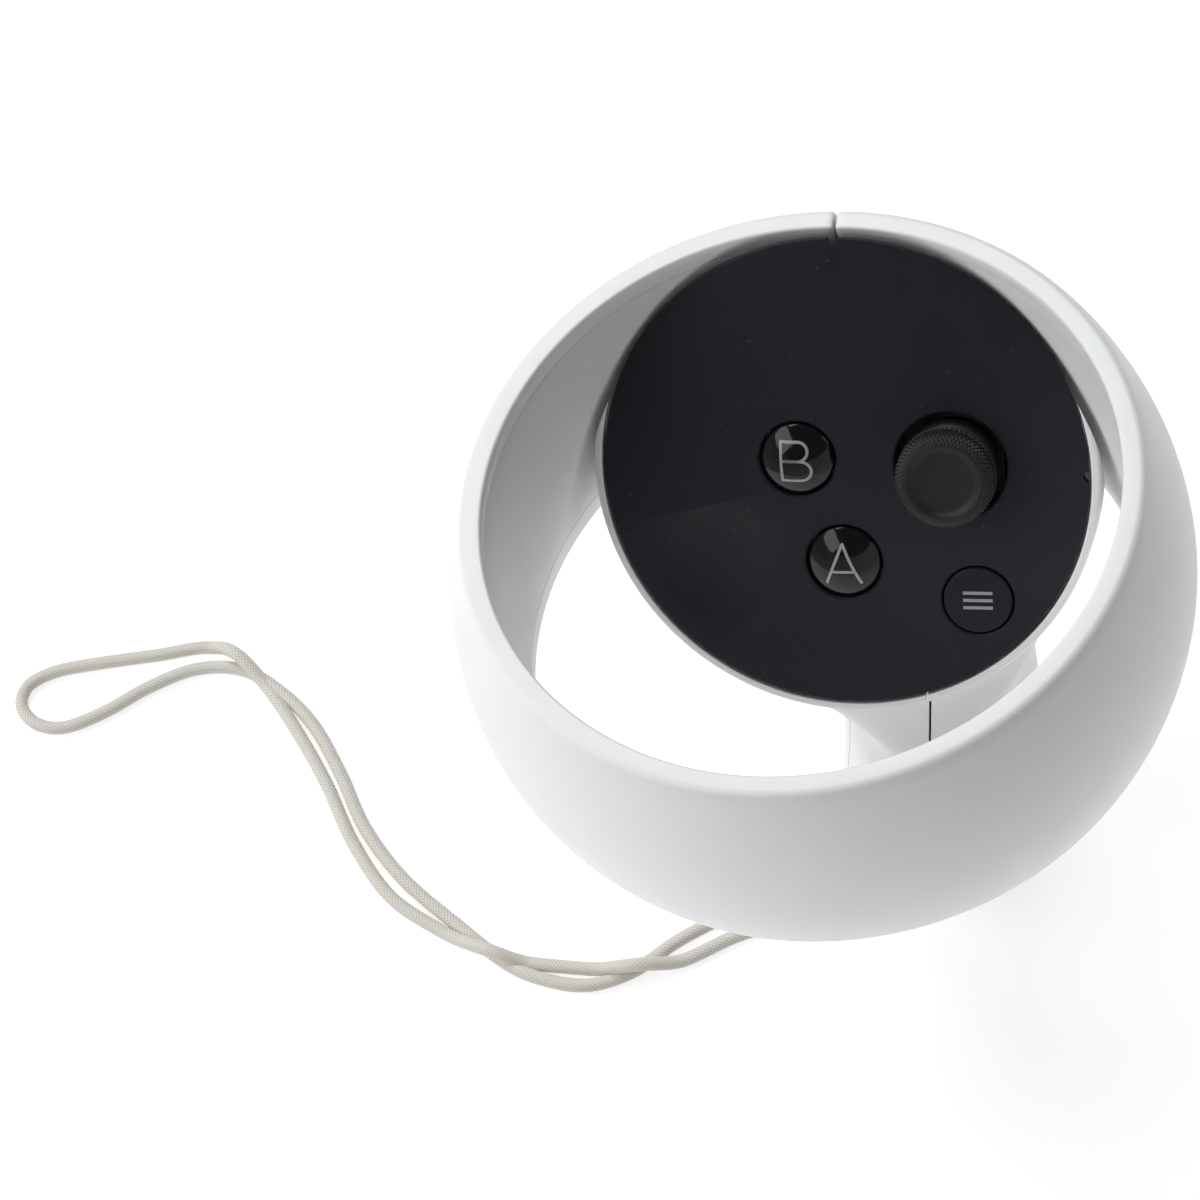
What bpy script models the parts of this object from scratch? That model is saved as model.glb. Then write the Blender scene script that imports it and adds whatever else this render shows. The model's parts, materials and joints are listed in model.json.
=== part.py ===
"""Right-hand motion controller with a tracking ring, as an assembly of separate pieces.

Frame: +Z up along the tracking ring's axis, +Y forward, +X to the user's right. The origin
is on the ground, under the ring's centre, and the controller stands on the flat end of its
handle. Lengths below are in millimetres, and MM turns them into Blender's metres.
"""

import math

import bmesh
import bpy
from mathutils import Matrix, Vector

MM = 0.001
GAP = 0.3

# Tracking ring
RIM_Z = 120.0
RIM_INNER_R = 39.0
RIM_OUTER_R = 42.4
BAND_R = 46.3
BAND_HEIGHT = 36.0
BULGE_DROP = 20.0
LOWER_OUTER_R = 43.2
LOWER_INNER_R = 39.5
RING_WALL = 1.6
RING_LIP = 3.0
RING_SEAM = 0.4
RING_STEPS = 60
LED_COUNT = 8

# Face plate: a disc tilted towards the user, whose front edge reaches the ring's rim
FACE_CENTRE = (0.0, 18.2, 95.5)
FACE_TILT = math.radians(52.4)
FACE_R = 31.3
FACE_THICK = 2.0
FACE_UNDERCUT = 1.1
COLLAR_R = 32.7
COLLAR_DEPTH = 5.0
FRONT_LIP_Z = 115.6
LEDGE_R = 30.2
NOTCH = 0.5

# Controls, in the face plate's own plane: x to the right, y towards the rim
BUTTON_A = (-0.5, -11.9)
BUTTON_B = (-5.9, 2.0)
BUTTON_HOME = (16.6, -16.9)
STICK = (13.8, 1.2)
BUTTON_R = 4.75
HOME_R = 4.45
STICK_HOLE_R = 7.2
STICK_PIVOT = -5.8
STICK_BASE_HALF = 6.2
STICK_BASE_SPAN = (-10.4, -4.4)
STICK_WELL_R = 5.3
# Heights under the face plate's top, in the face's own frame.
MEMBRANE_SPAN = (-6.4, -5.5)
MEMBRANE_R = 6.0
SWITCH_SPAN = (-6.7, -4.9)
SWITCH_R = 2.5
BOARD_SPAN = (-8.4, -7.0)
BOARD_R = 21.0
BOARD_CENTRE = (1.0, -4.0)
INNER_FRAME_SPAN = (-10.8, -9.8)
INNER_FRAME_R = 17.0
INNER_FRAME_CENTRE = (1.5, -4.0)
SCREW_PLACES = ((-13.0, -6.0), (8.0, -18.0), (0.0, 10.0))
SCREW_HOLE_R = 1.1
# The haptic motor lies across the handle, under the face's inner frame.
HAPTIC_R = 4.0
HAPTIC_ENDS = ((1.0, 12.5, 63.4), (14.0, 12.5, 63.4))
CAP_R = 6.4
HOLE_PLAY = 0.25

# Handle: its own frame has its origin in the battery and its z up the handle
HANDLE_CENTRE = (3.8, 18.0, 32.0)
HANDLE_UP = (5.1, -7.0, 50.0)
WALL = 2.0
SPLIT = 1.4
BATTERY_R = 7.2
BATTERY_LENGTH = 50.0
DOOR_X = 8.2
DOOR_HALF_Y = 11.2
DOOR_TOP = 22.0
GRIP_X = -4.0
GRIP_Y = (-8.5, 9.5)
GRIP_Z = (-2.0, 21.0)
GRIP_PIN = (-7.9, -6.0)

# Trigger, in the upright plane x = TRIGGER_X
TRIGGER_X = 7.5
TRIGGER_HALF = 7.7
TRIGGER_PIVOT = (30.5, 77.0)

# Wrist cord and the slot it comes out of
CORD_D = 2.0
CORD_EXIT = (-10.6, 12.5, 4.2)
CORD_OUT = (-0.8, -0.6)
CORD_SPREAD = 2.4

# Stations of the housing: centre x, y, z, tilt in degrees, half width, half depth
STATIONS = (
    (0.8, 21.7, 86.0, 48.0, 28.2, 29.6),
    (5.0, 19.7, 76.0, 39.7, 20.0, 25.0),
    (7.6, 17.0, 64.0, 27.0, 12.8, 21.9),
    (7.0, 15.0, 51.5, 16.0, 13.0, 19.8),
    (5.5, 15.3, 37.0, 9.3, 13.6, 18.5),
    (2.4, 17.8, 20.5, 5.0, 13.3, 17.5),
    (0.5, 20.6, 6.5, 2.0, 13.0, 17.1),
    (0.2, 21.0, 1.2, 0.0, 12.8, 17.0),
    (0.0, 21.0, 0.0, 0.0, 12.0, 16.2),
)


# ---------------------------------------------------------------- materials


def material(name, colour, roughness, metallic=0.0):
    made = bpy.data.materials.new(name)
    made.use_nodes = True
    shader = made.node_tree.nodes["Principled BSDF"]
    shader.inputs["Base Color"].default_value = (*colour, 1.0)
    shader.inputs["Roughness"].default_value = roughness
    shader.inputs["Metallic"].default_value = metallic
    return made


def make_materials():
    return {
        "white_shell": material("white_shell", (0.80, 0.81, 0.82), 0.45),
        "white_inner": material("white_inner", (0.62, 0.63, 0.64), 0.5),
        "black_face": material("black_face", (0.016, 0.018, 0.022), 0.42),
        "gloss_black": material("gloss_black", (0.008, 0.008, 0.010), 0.12),
        "black_rubber": material("black_rubber", (0.014, 0.014, 0.015), 0.7),
        "cord": material("cord", (0.68, 0.66, 0.61), 0.9),
        "steel": material("steel", (0.56, 0.57, 0.58), 0.3, 1.0),
        "circuit": material("circuit", (0.02, 0.12, 0.06), 0.5),
        "frame_plastic": material("frame_plastic", (0.05, 0.05, 0.055), 0.6),
        "silicone": material("silicone", (0.30, 0.31, 0.32), 0.6),
        "led_lens": material("led_lens", (0.05, 0.03, 0.05), 0.2),
        "battery_wrap": material("battery_wrap", (0.06, 0.10, 0.20), 0.35),
    }


# ---------------------------------------------------------------- building tools


def clear_scene():
    for old in list(bpy.data.objects):
        bpy.data.objects.remove(old, do_unlink=True)


def frame_empty(name, matrix):
    """An empty whose own axes are a frame that pieces are placed in."""
    empty = bpy.data.objects.new(name, None)
    bpy.context.scene.collection.objects.link(empty)
    empty.matrix_world = matrix
    return empty


def add_object(name, bm, finish=None, parent=None, smooth=True):
    """Turns a mesh in millimetres into an object; without a finish it is a cutter."""
    bmesh.ops.scale(bm, vec=(MM, MM, MM), verts=bm.verts)
    bmesh.ops.recalc_face_normals(bm, faces=bm.faces)
    mesh = bpy.data.meshes.new(name)
    bm.to_mesh(mesh)
    bm.free()
    made = bpy.data.objects.new(name, mesh)
    bpy.context.scene.collection.objects.link(made)
    if parent:
        made.parent = parent
    if finish:
        mesh.materials.append(finish)
        if smooth:
            mesh.shade_smooth()
            mesh.set_sharp_from_angle(angle=math.radians(35))
    else:
        made.hide_render = True
        made.display_type = "WIRE"
    return made


def boolean(target, other, operation):
    modifier = target.modifiers.new(other.name, "BOOLEAN")
    modifier.operation = operation
    modifier.object = other
    modifier.solver = "EXACT"


def bridge(bm, rings, closed_along=False):
    """Quads between each ring of vertices and the next one."""
    pairs = list(zip(rings, rings[1:]))
    if closed_along:
        pairs.append((rings[-1], rings[0]))
    for lower, upper in pairs:
        count = len(lower)
        for i in range(count):
            j = (i + 1) % count
            bm.faces.new((lower[i], lower[j], upper[j], upper[i]))


def lathe(profile, steps, centre=(0.0, 0.0)):
    """A solid turned about z from (radius, z) points that start and end on the axis."""
    bm = bmesh.new()
    inner = profile[1:-1]
    rings = []
    for radius, z in inner:
        ring = []
        for k in range(steps):
            angle = math.tau * k / steps
            x = centre[0] + radius * math.cos(angle)
            y = centre[1] + radius * math.sin(angle)
            ring.append(bm.verts.new((x, y, z)))
        rings.append(ring)
    bridge(bm, rings)
    for end, ring in ((profile[0], rings[0]), (profile[-1], rings[-1])):
        tip = bm.verts.new((centre[0], centre[1], end[1]))
        for i in range(steps):
            bm.faces.new((ring[i], ring[(i + 1) % steps], tip))
    return bm


def turned_tube(profile, steps, centre=(0.0, 0.0)):
    """A ring-shaped solid turned about z from a closed outline of (radius, z) points."""
    bm = bmesh.new()
    sections = []
    for k in range(steps):
        angle = math.tau * k / steps
        across = (math.cos(angle), math.sin(angle))
        sections.append(
            [
                bm.verts.new((centre[0] + r * across[0], centre[1] + r * across[1], z))
                for r, z in profile
            ]
        )
    bridge(bm, sections, closed_along=True)
    return bm


def turned_arc(profile, start, end, steps):
    """Part of a turn of a closed (radius, z) outline, from one angle to another."""
    bm = bmesh.new()
    sections = []
    for k in range(steps + 1):
        angle = start + (end - start) * k / steps
        c, s = math.cos(angle), math.sin(angle)
        sections.append([bm.verts.new((r * c, r * s, z)) for r, z in profile])
    bridge(bm, sections)
    bm.faces.new(sections[0])
    bm.faces.new(sections[-1])
    return bm


def extruded(outline, low, high, taper=1.0):
    """A solid from a flat outline of (x, y) points, whose lower end may be smaller."""
    bm = bmesh.new()
    bottom = [bm.verts.new((x * taper, y * taper, low)) for x, y in outline]
    top = [bm.verts.new((x, y, high)) for x, y in outline]
    bridge(bm, [bottom, top])
    bm.faces.new(bottom)
    bm.faces.new(top)
    return bm


def circle(radius, steps, centre=(0.0, 0.0), start=0.0):
    """Points of a circle in the flat."""
    points = []
    for k in range(steps):
        angle = start + math.tau * k / steps
        points.append(
            (centre[0] + radius * math.cos(angle), centre[1] + radius * math.sin(angle))
        )
    return points


def block(low, high):
    """A box between two corners."""
    outline = ((low[0], low[1]), (high[0], low[1]), (high[0], high[1]), (low[0], high[1]))
    return extruded(outline, low[2], high[2])


def rod(radius, start, end, steps):
    """A round bar between two points."""
    first, last = Vector(start), Vector(end)
    length = (last - first).length
    bm = extruded(circle(radius, steps), 0.0, length)
    turn = (last - first).to_track_quat("Z", "Y").to_matrix().to_4x4()
    bmesh.ops.transform(bm, matrix=Matrix.Translation(first) @ turn, verts=bm.verts)
    return bm


def coil(name, finish, parent, centre, radius, wire, pitch, turns, sides=10):
    """A wire spring: a helix about local z that starts at its centre point's height."""
    curve = bpy.data.curves.new(name, "CURVE")
    curve.dimensions = "3D"
    curve.bevel_depth = wire * MM
    curve.bevel_resolution = 1
    curve.use_fill_caps = True
    spline = curve.splines.new("POLY")
    count = int(turns * sides) + 1
    spline.points.add(count - 1)
    for k in range(count):
        angle = math.tau * k / sides
        place = Vector(
            (
                centre[0] + radius * math.cos(angle),
                centre[1] + radius * math.sin(angle),
                centre[2] + pitch * k / sides,
            )
        )
        spline.points[k].co = (*(place * MM), 1.0)
    curve.materials.append(finish)
    made = bpy.data.objects.new(name, curve)
    bpy.context.scene.collection.objects.link(made)
    made.parent = parent
    return made


# ---------------------------------------------------------------- tracking ring


def band_outer(drop):
    """Outer radius of the ring at a distance below its rim."""
    if drop < BULGE_DROP:
        share = (BULGE_DROP - drop) / BULGE_DROP
        return BAND_R - (BAND_R - RIM_OUTER_R + 0.5) * share**2
    share = (drop - BULGE_DROP) / (BAND_HEIGHT - BULGE_DROP)
    return BAND_R - (BAND_R - LOWER_OUTER_R + 0.6) * share**2


def band_inner(drop):
    """Inner radius of the ring: a shallow barrel between the two lips."""
    share = drop / BAND_HEIGHT
    straight = RIM_INNER_R + (LOWER_INNER_R - RIM_INNER_R) * share
    return straight + 2.6 * share * (1.0 - share)


def spread(first, last, count):
    return [first + (last - first) * k / (count - 1) for k in range(count)]


def make_ring(finishes):
    seam = RING_SEAM / 2 / RIM_INNER_R
    start = math.pi / 2 + seam
    end = math.pi / 2 + math.tau - seam
    deep = BAND_HEIGHT
    rim = [
        (band_inner(RING_LIP), -RING_LIP),
        (RIM_INNER_R, -1.0),
        (RIM_INNER_R + 0.4, -0.25),
        (RIM_INNER_R + 1.4, 0.0),
        (RIM_OUTER_R - 0.9, -0.25),
    ]
    outside = [(band_outer(drop), -drop) for drop in spread(1.4, deep - 1.6, 9)]
    foot = [
        (LOWER_OUTER_R - 1.6, -deep + 0.2),
        (LOWER_INNER_R + 1.4, -deep),
        (LOWER_INNER_R + 0.2, -deep + 0.6),
        (band_inner(deep - RING_LIP), -deep + RING_LIP),
    ]
    inside = [
        (band_outer(drop) - RING_WALL, -drop)
        for drop in spread(deep - RING_LIP, RING_LIP, 6)
    ]
    profile = [(r, RIM_Z + z) for r, z in rim + outside + foot + inside]
    shell = turned_arc(profile, start, end, RING_STEPS)
    add_object("ring_outer_shell", shell, finishes["white_shell"])

    drops = spread(RING_LIP + GAP, deep - RING_LIP - GAP, 5)
    face = [(band_inner(drop), RIM_Z - drop) for drop in drops]
    back = [(band_inner(drop) + 1.2, RIM_Z - drop) for drop in reversed(drops)]
    liner = turned_arc(face + back, start, end, RING_STEPS)
    add_object("ring_inner_shell", liner, finishes["white_inner"])

    joint_half = math.radians(14)
    joint = [(42.1, 94.0), (43.6, 94.0), (43.6, 106.0), (42.1, 106.0)]
    front = math.pi / 2
    bridge_piece = turned_arc(joint, front - joint_half, front + joint_half, 6)
    add_object("ring_joint_block", bridge_piece, finishes["frame_plastic"])

    strip = [(41.9, 95.0), (42.2, 95.0), (42.2, 105.0), (41.9, 105.0)]
    margin = joint_half + math.radians(3)
    band = turned_arc(strip, front + margin, front + math.tau - margin, 48)
    add_object("ring_led_strip", band, finishes["circuit"])

    pitch = (math.tau - 2 * margin) / LED_COUNT
    for k in range(LED_COUNT):
        turn = front + margin + pitch * (k + 0.5)
        rise = 1.8 if k % 2 else -1.8
        lamp = block((42.5, -1.4, RIM_Z - BULGE_DROP + rise - 1.4),
                     (43.7, 1.4, RIM_Z - BULGE_DROP + rise + 1.4))
        bmesh.ops.rotate(lamp, matrix=Matrix.Rotation(turn, 3, "Z"), verts=lamp.verts)
        add_object(f"ring_led_{k + 1}", lamp, finishes["led_lens"], smooth=False)


# ---------------------------------------------------------------- housing


def face_point(x, y, z):
    """World place of a point given in the face plate's own frame."""
    c, s = math.cos(FACE_TILT), math.sin(FACE_TILT)
    return (
        FACE_CENTRE[0] + x,
        FACE_CENTRE[1] + y * c - z * s,
        FACE_CENTRE[2] + y * s + z * c,
    )


def housing_stations(inset, top, bottom):
    """The collar's two stations and the handle's, each shrunk by an inset."""
    tilt = math.degrees(FACE_TILT)
    collar = [
        (*face_point(0, 0, -depth), tilt, radius, radius) for depth, radius in top
    ]
    below = [
        (x, y, z, turn, wide - inset, deep - inset)
        for x, y, z, turn, wide, deep in STATIONS
    ]
    if bottom:
        below = below[:-2]
        x, y, _, turn, wide, deep = below[-1]
        below.append((x, y, bottom, 0.0, wide, deep))
    return collar + below


def loft(stations, steps=44):
    """A solid through ellipses: each stands at its centre, tilted about x."""
    bm = bmesh.new()
    rings = []
    for x, y, z, tilt, wide, deep in stations:
        c, s = math.cos(math.radians(tilt)), math.sin(math.radians(tilt))
        ring = []
        for k in range(steps):
            angle = math.tau * k / steps
            across = wide * math.cos(angle)
            along = deep * math.sin(angle)
            ring.append(bm.verts.new((x + across, y + along * c, z + along * s)))
        rings.append(ring)
    bridge(bm, rings)
    bm.faces.new(rings[0])
    bm.faces.new(rings[-1])
    return bm


def clip_solid(name, radius):
    """What lies inside the ring's bore, and everything below the ring."""
    low = RIM_Z - BAND_HEIGHT - 0.8
    top = FRONT_LIP_Z
    profile = [(0, -20), (70, -20), (70, low - 0.6), (radius, low), (radius, top), (0, top)]
    return add_object(name, lathe(profile, RING_STEPS))


def housing_blank(name, finish, clip, recess, cavity):
    """The whole hollow housing, before it is split into its pieces."""
    top = ((0.0, COLLAR_R), (COLLAR_DEPTH, COLLAR_R))
    blank = add_object(name, loft(housing_stations(0.0, top, None)), finish)
    for cutter, operation in ((clip, "INTERSECT"), (recess, "DIFFERENCE"), (cavity, "DIFFERENCE")):
        boolean(blank, cutter, operation)
    return blank


def make_housing(finishes, face, handle):
    clip = clip_solid("cut_ring_bore", 38.6)
    cavity_clip = clip_solid("cut_cavity_bore", 37.0)
    cavity_top = ((FACE_THICK, LEDGE_R), (COLLAR_DEPTH, LEDGE_R))
    cavity = add_object(
        "cut_cavity", loft(housing_stations(WALL, cavity_top, 2.2))
    )
    boolean(cavity, cavity_clip, "INTERSECT")
    recess = add_object(
        "cut_recess",
        extruded(circle(FACE_R + HOLE_PLAY + 0.1, 64), -FACE_THICK - 0.35, 6.0),
        parent=face,
    )
    door_hole = add_object(
        "cut_door",
        block((DOOR_X - GAP, -DOOR_HALF_Y - GAP, -60), (40, DOOR_HALF_Y + GAP, DOOR_TOP + GAP)),
        parent=handle,
    )
    grip_hole = add_object(
        "cut_grip",
        block(
            (-40, GRIP_Y[0] - 0.4, GRIP_Z[0] - 0.4),
            (GRIP_X + 0.4, GRIP_Y[1] + 0.4, GRIP_Z[1] + 0.4),
        ),
        parent=handle,
    )
    trigger_hole = add_object(
        "cut_trigger",
        block((TRIGGER_X - 8.2, 25, 54.0), (TRIGGER_X + 8.2, 60, 82.0)),
    )
    slot = block((-4, -CORD_SPREAD - 1.5, -1.4), (4, CORD_SPREAD + 1.5, 1.4))
    cord_slot = add_object("cut_cord_slot", slot)
    cord_slot.matrix_world = Matrix.Translation(Vector(CORD_EXIT) * MM) @ Matrix.Rotation(
        math.atan2(CORD_OUT[1], CORD_OUT[0]), 4, "Z"
    )

    sides = (
        ("right_shell", SPLIT + GAP / 2, 90.0, (trigger_hole, door_hole)),
        ("left_shell", -90.0, SPLIT - GAP / 2, (trigger_hole, grip_hole, cord_slot)),
    )
    for name, low, high, cuts in sides:
        shell = housing_blank(name, finishes["white_shell"], clip, recess, cavity)
        half = block((low, -90, -60), (high, 90, 130))
        boolean(shell, add_object("keep_" + name, half, parent=handle), "INTERSECT")
        for cut in cuts:
            boolean(shell, cut, "DIFFERENCE")

    door = housing_blank("battery_door", finishes["white_shell"], clip, recess, cavity)
    keep = add_object(
        "keep_door",
        block((DOOR_X, -DOOR_HALF_Y, -60), (40, DOOR_HALF_Y, DOOR_TOP)),
        parent=handle,
    )
    boolean(door, keep, "INTERSECT")
    ground = add_object("cut_ground", block((-60, -60, -20), (60, 60, 0.5)))
    boolean(door, ground, "DIFFERENCE")

    grip = housing_blank("grip_button", finishes["white_shell"], clip, recess, cavity)
    keep = add_object(
        "keep_grip",
        block((-40, GRIP_Y[0], GRIP_Z[0]), (GRIP_X, GRIP_Y[1], GRIP_Z[1])),
        parent=handle,
    )
    boolean(grip, keep, "INTERSECT")
    for k, (low, high) in enumerate(((0.0, 7.0), (12.0, 19.0))):
        barrel = extruded(circle(2.3, 20, GRIP_PIN), low, high)
        boolean(grip, add_object(f"join_barrel_{k}", barrel, parent=handle), "UNION")
    bore = extruded(circle(1.0, 16, GRIP_PIN), -3.0, 22.0)
    boolean(grip, add_object("cut_grip_bore", bore, parent=handle), "DIFFERENCE")


# ---------------------------------------------------------------- controls on the face


def face_outline():
    """The plate's round edge with two small locating notches, at its front and right."""
    points = []
    steps = 72
    for k in range(steps):
        angle = math.tau * k / steps
        radius = FACE_R - (NOTCH if k in (0, steps // 4) else 0.0)
        points.append((radius * math.cos(angle), radius * math.sin(angle)))
    return points


def make_face_plate(finishes, face):
    plate = add_object(
        "face_plate",
        extruded(face_outline(), -FACE_THICK, 0.0, 1.0 - FACE_UNDERCUT / FACE_R),
        finishes["black_face"],
        face,
        smooth=False,
    )
    holes = (
        ("a", BUTTON_A, BUTTON_R + HOLE_PLAY),
        ("b", BUTTON_B, BUTTON_R + HOLE_PLAY),
        ("home", BUTTON_HOME, HOME_R + HOLE_PLAY),
        ("stick", STICK, STICK_HOLE_R),
    )
    for name, place, radius in holes:
        cutter = extruded(circle(radius, 32, place), -5.0, 2.0)
        boolean(plate, add_object("cut_hole_" + name, cutter, parent=face), "DIFFERENCE")


def make_buttons(finishes, face):
    domed = [
        (0, 1.35), (2.4, 1.15), (3.9, 0.62), (4.5, 0.2), (BUTTON_R, -0.4), (BUTTON_R, -2.5),
        (BUTTON_R + 0.9, -2.5), (BUTTON_R + 0.9, -3.2), (2.0, -3.2), (2.0, -4.1), (0, -4.1),
    ]
    for name, place in (("button_a", BUTTON_A), ("button_b", BUTTON_B)):
        add_object(name, lathe(domed, 28, place), finishes["gloss_black"], face)
    flat = [
        (0, -0.05), (HOME_R - 0.2, -0.05), (HOME_R, -0.25), (HOME_R, -2.5),
        (HOME_R + 0.8, -2.5), (HOME_R + 0.8, -3.2), (1.6, -3.2), (1.6, -4.1), (0, -4.1),
    ]
    add_object("home_button", lathe(flat, 28, BUTTON_HOME), finishes["black_face"], face)


def link_outline(first, second, radius, steps=12):
    """A long round-ended outline about two points."""
    along = math.atan2(second[1] - first[1], second[0] - first[0])
    points = []
    for centre, facing in ((second, along), (first, along + math.pi)):
        for k in range(steps + 1):
            angle = facing - math.pi / 2 + math.pi * k / steps
            points.append(
                (centre[0] + radius * math.cos(angle), centre[1] + radius * math.sin(angle))
            )
    return points


def make_inside(finishes, face):
    """Membrane, circuit board and frame, stacked under the face plate."""
    pad = extruded(link_outline(BUTTON_A, BUTTON_B, MEMBRANE_R), *MEMBRANE_SPAN)
    add_object("button_membrane", pad, finishes["silicone"], face)
    switch = extruded(circle(SWITCH_R, 20, BUTTON_HOME), *SWITCH_SPAN)
    add_object("home_switch", switch, finishes["silicone"], face)

    board = add_object(
        "main_board",
        extruded(circle(BOARD_R, 40, BOARD_CENTRE), *BOARD_SPAN),
        finishes["circuit"],
        face,
    )
    frame = add_object(
        "inner_frame",
        extruded(circle(INNER_FRAME_R, 36, INNER_FRAME_CENTRE), *INNER_FRAME_SPAN),
        finishes["frame_plastic"],
        face,
    )
    half = STICK_BASE_HALF + 0.4
    module = block(
        (STICK[0] - half, STICK[1] - half, -20), (STICK[0] + half, STICK[1] + half, 0)
    )
    module_hole = add_object("cut_module", module, parent=face)
    boolean(board, module_hole, "DIFFERENCE")
    boolean(frame, module_hole, "DIFFERENCE")
    chip = block((-9, 0, -9.4), (-2, 7, -8.7))
    add_object("main_chip", chip, finishes["frame_plastic"], face, smooth=False)

    for k, place in enumerate(SCREW_PLACES):
        hole = extruded(circle(SCREW_HOLE_R, 16, place), -20, 0)
        cutter = add_object(f"cut_screw_{k}", hole, parent=face)
        boolean(board, cutter, "DIFFERENCE")
        boolean(frame, cutter, "DIFFERENCE")
        profile = [
            (0, -5.6), (1.9, -5.6), (1.9, -6.7), (0.8, -6.7), (0.8, -12.0), (0, -12.4),
        ]
        add_object(f"frame_screw_{k + 1}", lathe(profile, 16, place), finishes["steel"], face)


def make_thumbstick(finishes, face):
    x, y = STICK
    half = STICK_BASE_HALF
    bottom, top = STICK_BASE_SPAN
    base = add_object(
        "stick_base",
        block((x - half, y - half, bottom), (x + half, y + half, top)),
        finishes["frame_plastic"],
        face,
        smooth=False,
    )
    well = extruded(circle(STICK_WELL_R, 32, STICK), bottom + 1.0, 0.0)
    boolean(base, add_object("cut_well", well, parent=face), "DIFFERENCE")

    ring = [(3.1, -5.1), (4.3, -5.1), (4.3, -6.5), (3.1, -6.5)]
    rocker = add_object(
        "stick_rocker", turned_tube(ring, 28, STICK), finishes["frame_plastic"], face
    )
    for k, side in enumerate((-1, 1)):
        ends = [(x + side * reach, y, STICK_PIVOT) for reach in (3.6, 5.0)]
        trunnion = add_object(f"join_trunnion_{k}", rod(0.6, *ends, 12), parent=face)
        boolean(rocker, trunnion, "UNION")

    shaft = [
        (0, 2.9), (1.3, 2.9), (1.5, 2.6), (1.5, -3.6), (2.3, -4.5), (2.75, -5.8),
        (2.3, -7.1), (1.2, -7.8), (0, -7.9),
    ]
    add_object("stick_shaft", lathe(shaft, 24, STICK), finishes["frame_plastic"], face)

    cap = [
        (0, 5.6), (3.6, 5.7), (4.5, 6.0), (4.85, 6.2), (5.3, 6.1), (6.0, 5.55),
        (CAP_R, 4.95), (CAP_R, 3.25), (5.7, 3.0), (1.85, 3.0), (1.85, 3.85), (0, 3.85),
    ]
    add_object("thumbstick_cap", lathe(cap, 32, STICK), finishes["black_rubber"], face)

    skirt = [
        (1.9, 2.7), (2.6, 2.7), (4.2, 1.4), (5.6, -0.1), (6.1, -1.4), (5.6, -1.4),
        (5.0, -0.4), (3.8, 0.8), (1.9, 2.0),
    ]
    add_object("stick_skirt", turned_tube(skirt, 28, STICK), finishes["black_rubber"], face)


# ---------------------------------------------------------------- handle's contents


def make_trigger(finishes):
    y, z = TRIGGER_PIVOT
    outline = (
        (28.0, 78.6), (29.4, 80.2), (33.5, 80.7), (37.8, 80.4), (40.9, 78.0), (42.4, 74.0),
        (42.7, 69.5), (42.0, 64.5), (40.4, 60.2), (38.4, 57.2), (36.6, 56.6), (35.5, 58.0),
        (36.4, 61.5), (37.3, 66.0), (36.9, 70.0), (34.8, 72.6), (31.0, 73.7), (28.4, 75.0),
    )
    # The outline is drawn in y and z, and its thickness runs along x.
    bm = extruded(outline, TRIGGER_X - TRIGGER_HALF, TRIGGER_X + TRIGGER_HALF)
    turn = Matrix(((0, 0, 1), (1, 0, 0), (0, 1, 0))).to_4x4()
    bmesh.ops.transform(bm, matrix=turn, verts=bm.verts)
    trigger = add_object("trigger", bm, finishes["white_shell"])
    corner = trigger.modifiers.new("rounded_edges", "BEVEL")
    corner.width = 0.8 * MM
    corner.segments = 2
    corner.limit_method = "ANGLE"
    corner.angle_limit = math.radians(60)
    ends = [(TRIGGER_X + side * 20.0, y, z) for side in (-1, 1)]
    boolean(trigger, add_object("cut_trigger_bore", rod(1.32, *ends, 20)), "DIFFERENCE")
    notch = block((TRIGGER_X - 2.6, 20.0, z - 3.0), (TRIGGER_X + 2.6, y + 3.0, z + 10.0))
    boolean(trigger, add_object("cut_spring_notch", notch), "DIFFERENCE")

    ends = [(TRIGGER_X + side * 8.0, y, z) for side in (-1, 1)]
    add_object("trigger_pin", rod(1.2, *ends, 20), finishes["steel"])
    axis = frame_empty(
        "trigger_axis",
        Matrix.Translation(Vector((TRIGGER_X, y, z)) * MM) @ Matrix.Rotation(math.pi / 2, 4, "Y"),
    )
    coil("trigger_spring", finishes["steel"], axis, (0, 0, -1.9), 1.85, 0.28, 0.9, 4, 8)


def make_handle_parts(finishes, handle):
    x, y = GRIP_PIN
    add_object("grip_pin", extruded(circle(0.85, 16, GRIP_PIN), -1.4, 20.4), finishes["steel"], handle)
    coil("grip_spring", finishes["steel"], handle, (x, y, 7.9), 1.35, 0.22, 0.75, 4, 8)

    half = BATTERY_LENGTH / 2
    cell = [
        (0, half), (2.6, half), (2.6, half - 1.2), (6.4, half - 1.2), (BATTERY_R, half - 1.9),
        (BATTERY_R, -half + 0.5), (6.7, -half), (0, -half),
    ]
    add_object("battery_cell", lathe(cell, 36), finishes["battery_wrap"], handle)
    coil(
        "battery_spring", finishes["steel"], handle, (0, 0, -half - 4.3), 3.0, 0.35, 1.15, 3, 10
    )
    plate = block((-5.0, -4.0, half + 0.4), (5.0, 4.0, half + 0.9))
    add_object("battery_plate", plate, finishes["steel"], handle, smooth=False)
    add_object("haptic_motor", rod(HAPTIC_R, *HAPTIC_ENDS, 24), finishes["steel"])


# ---------------------------------------------------------------- wrist cord


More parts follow.
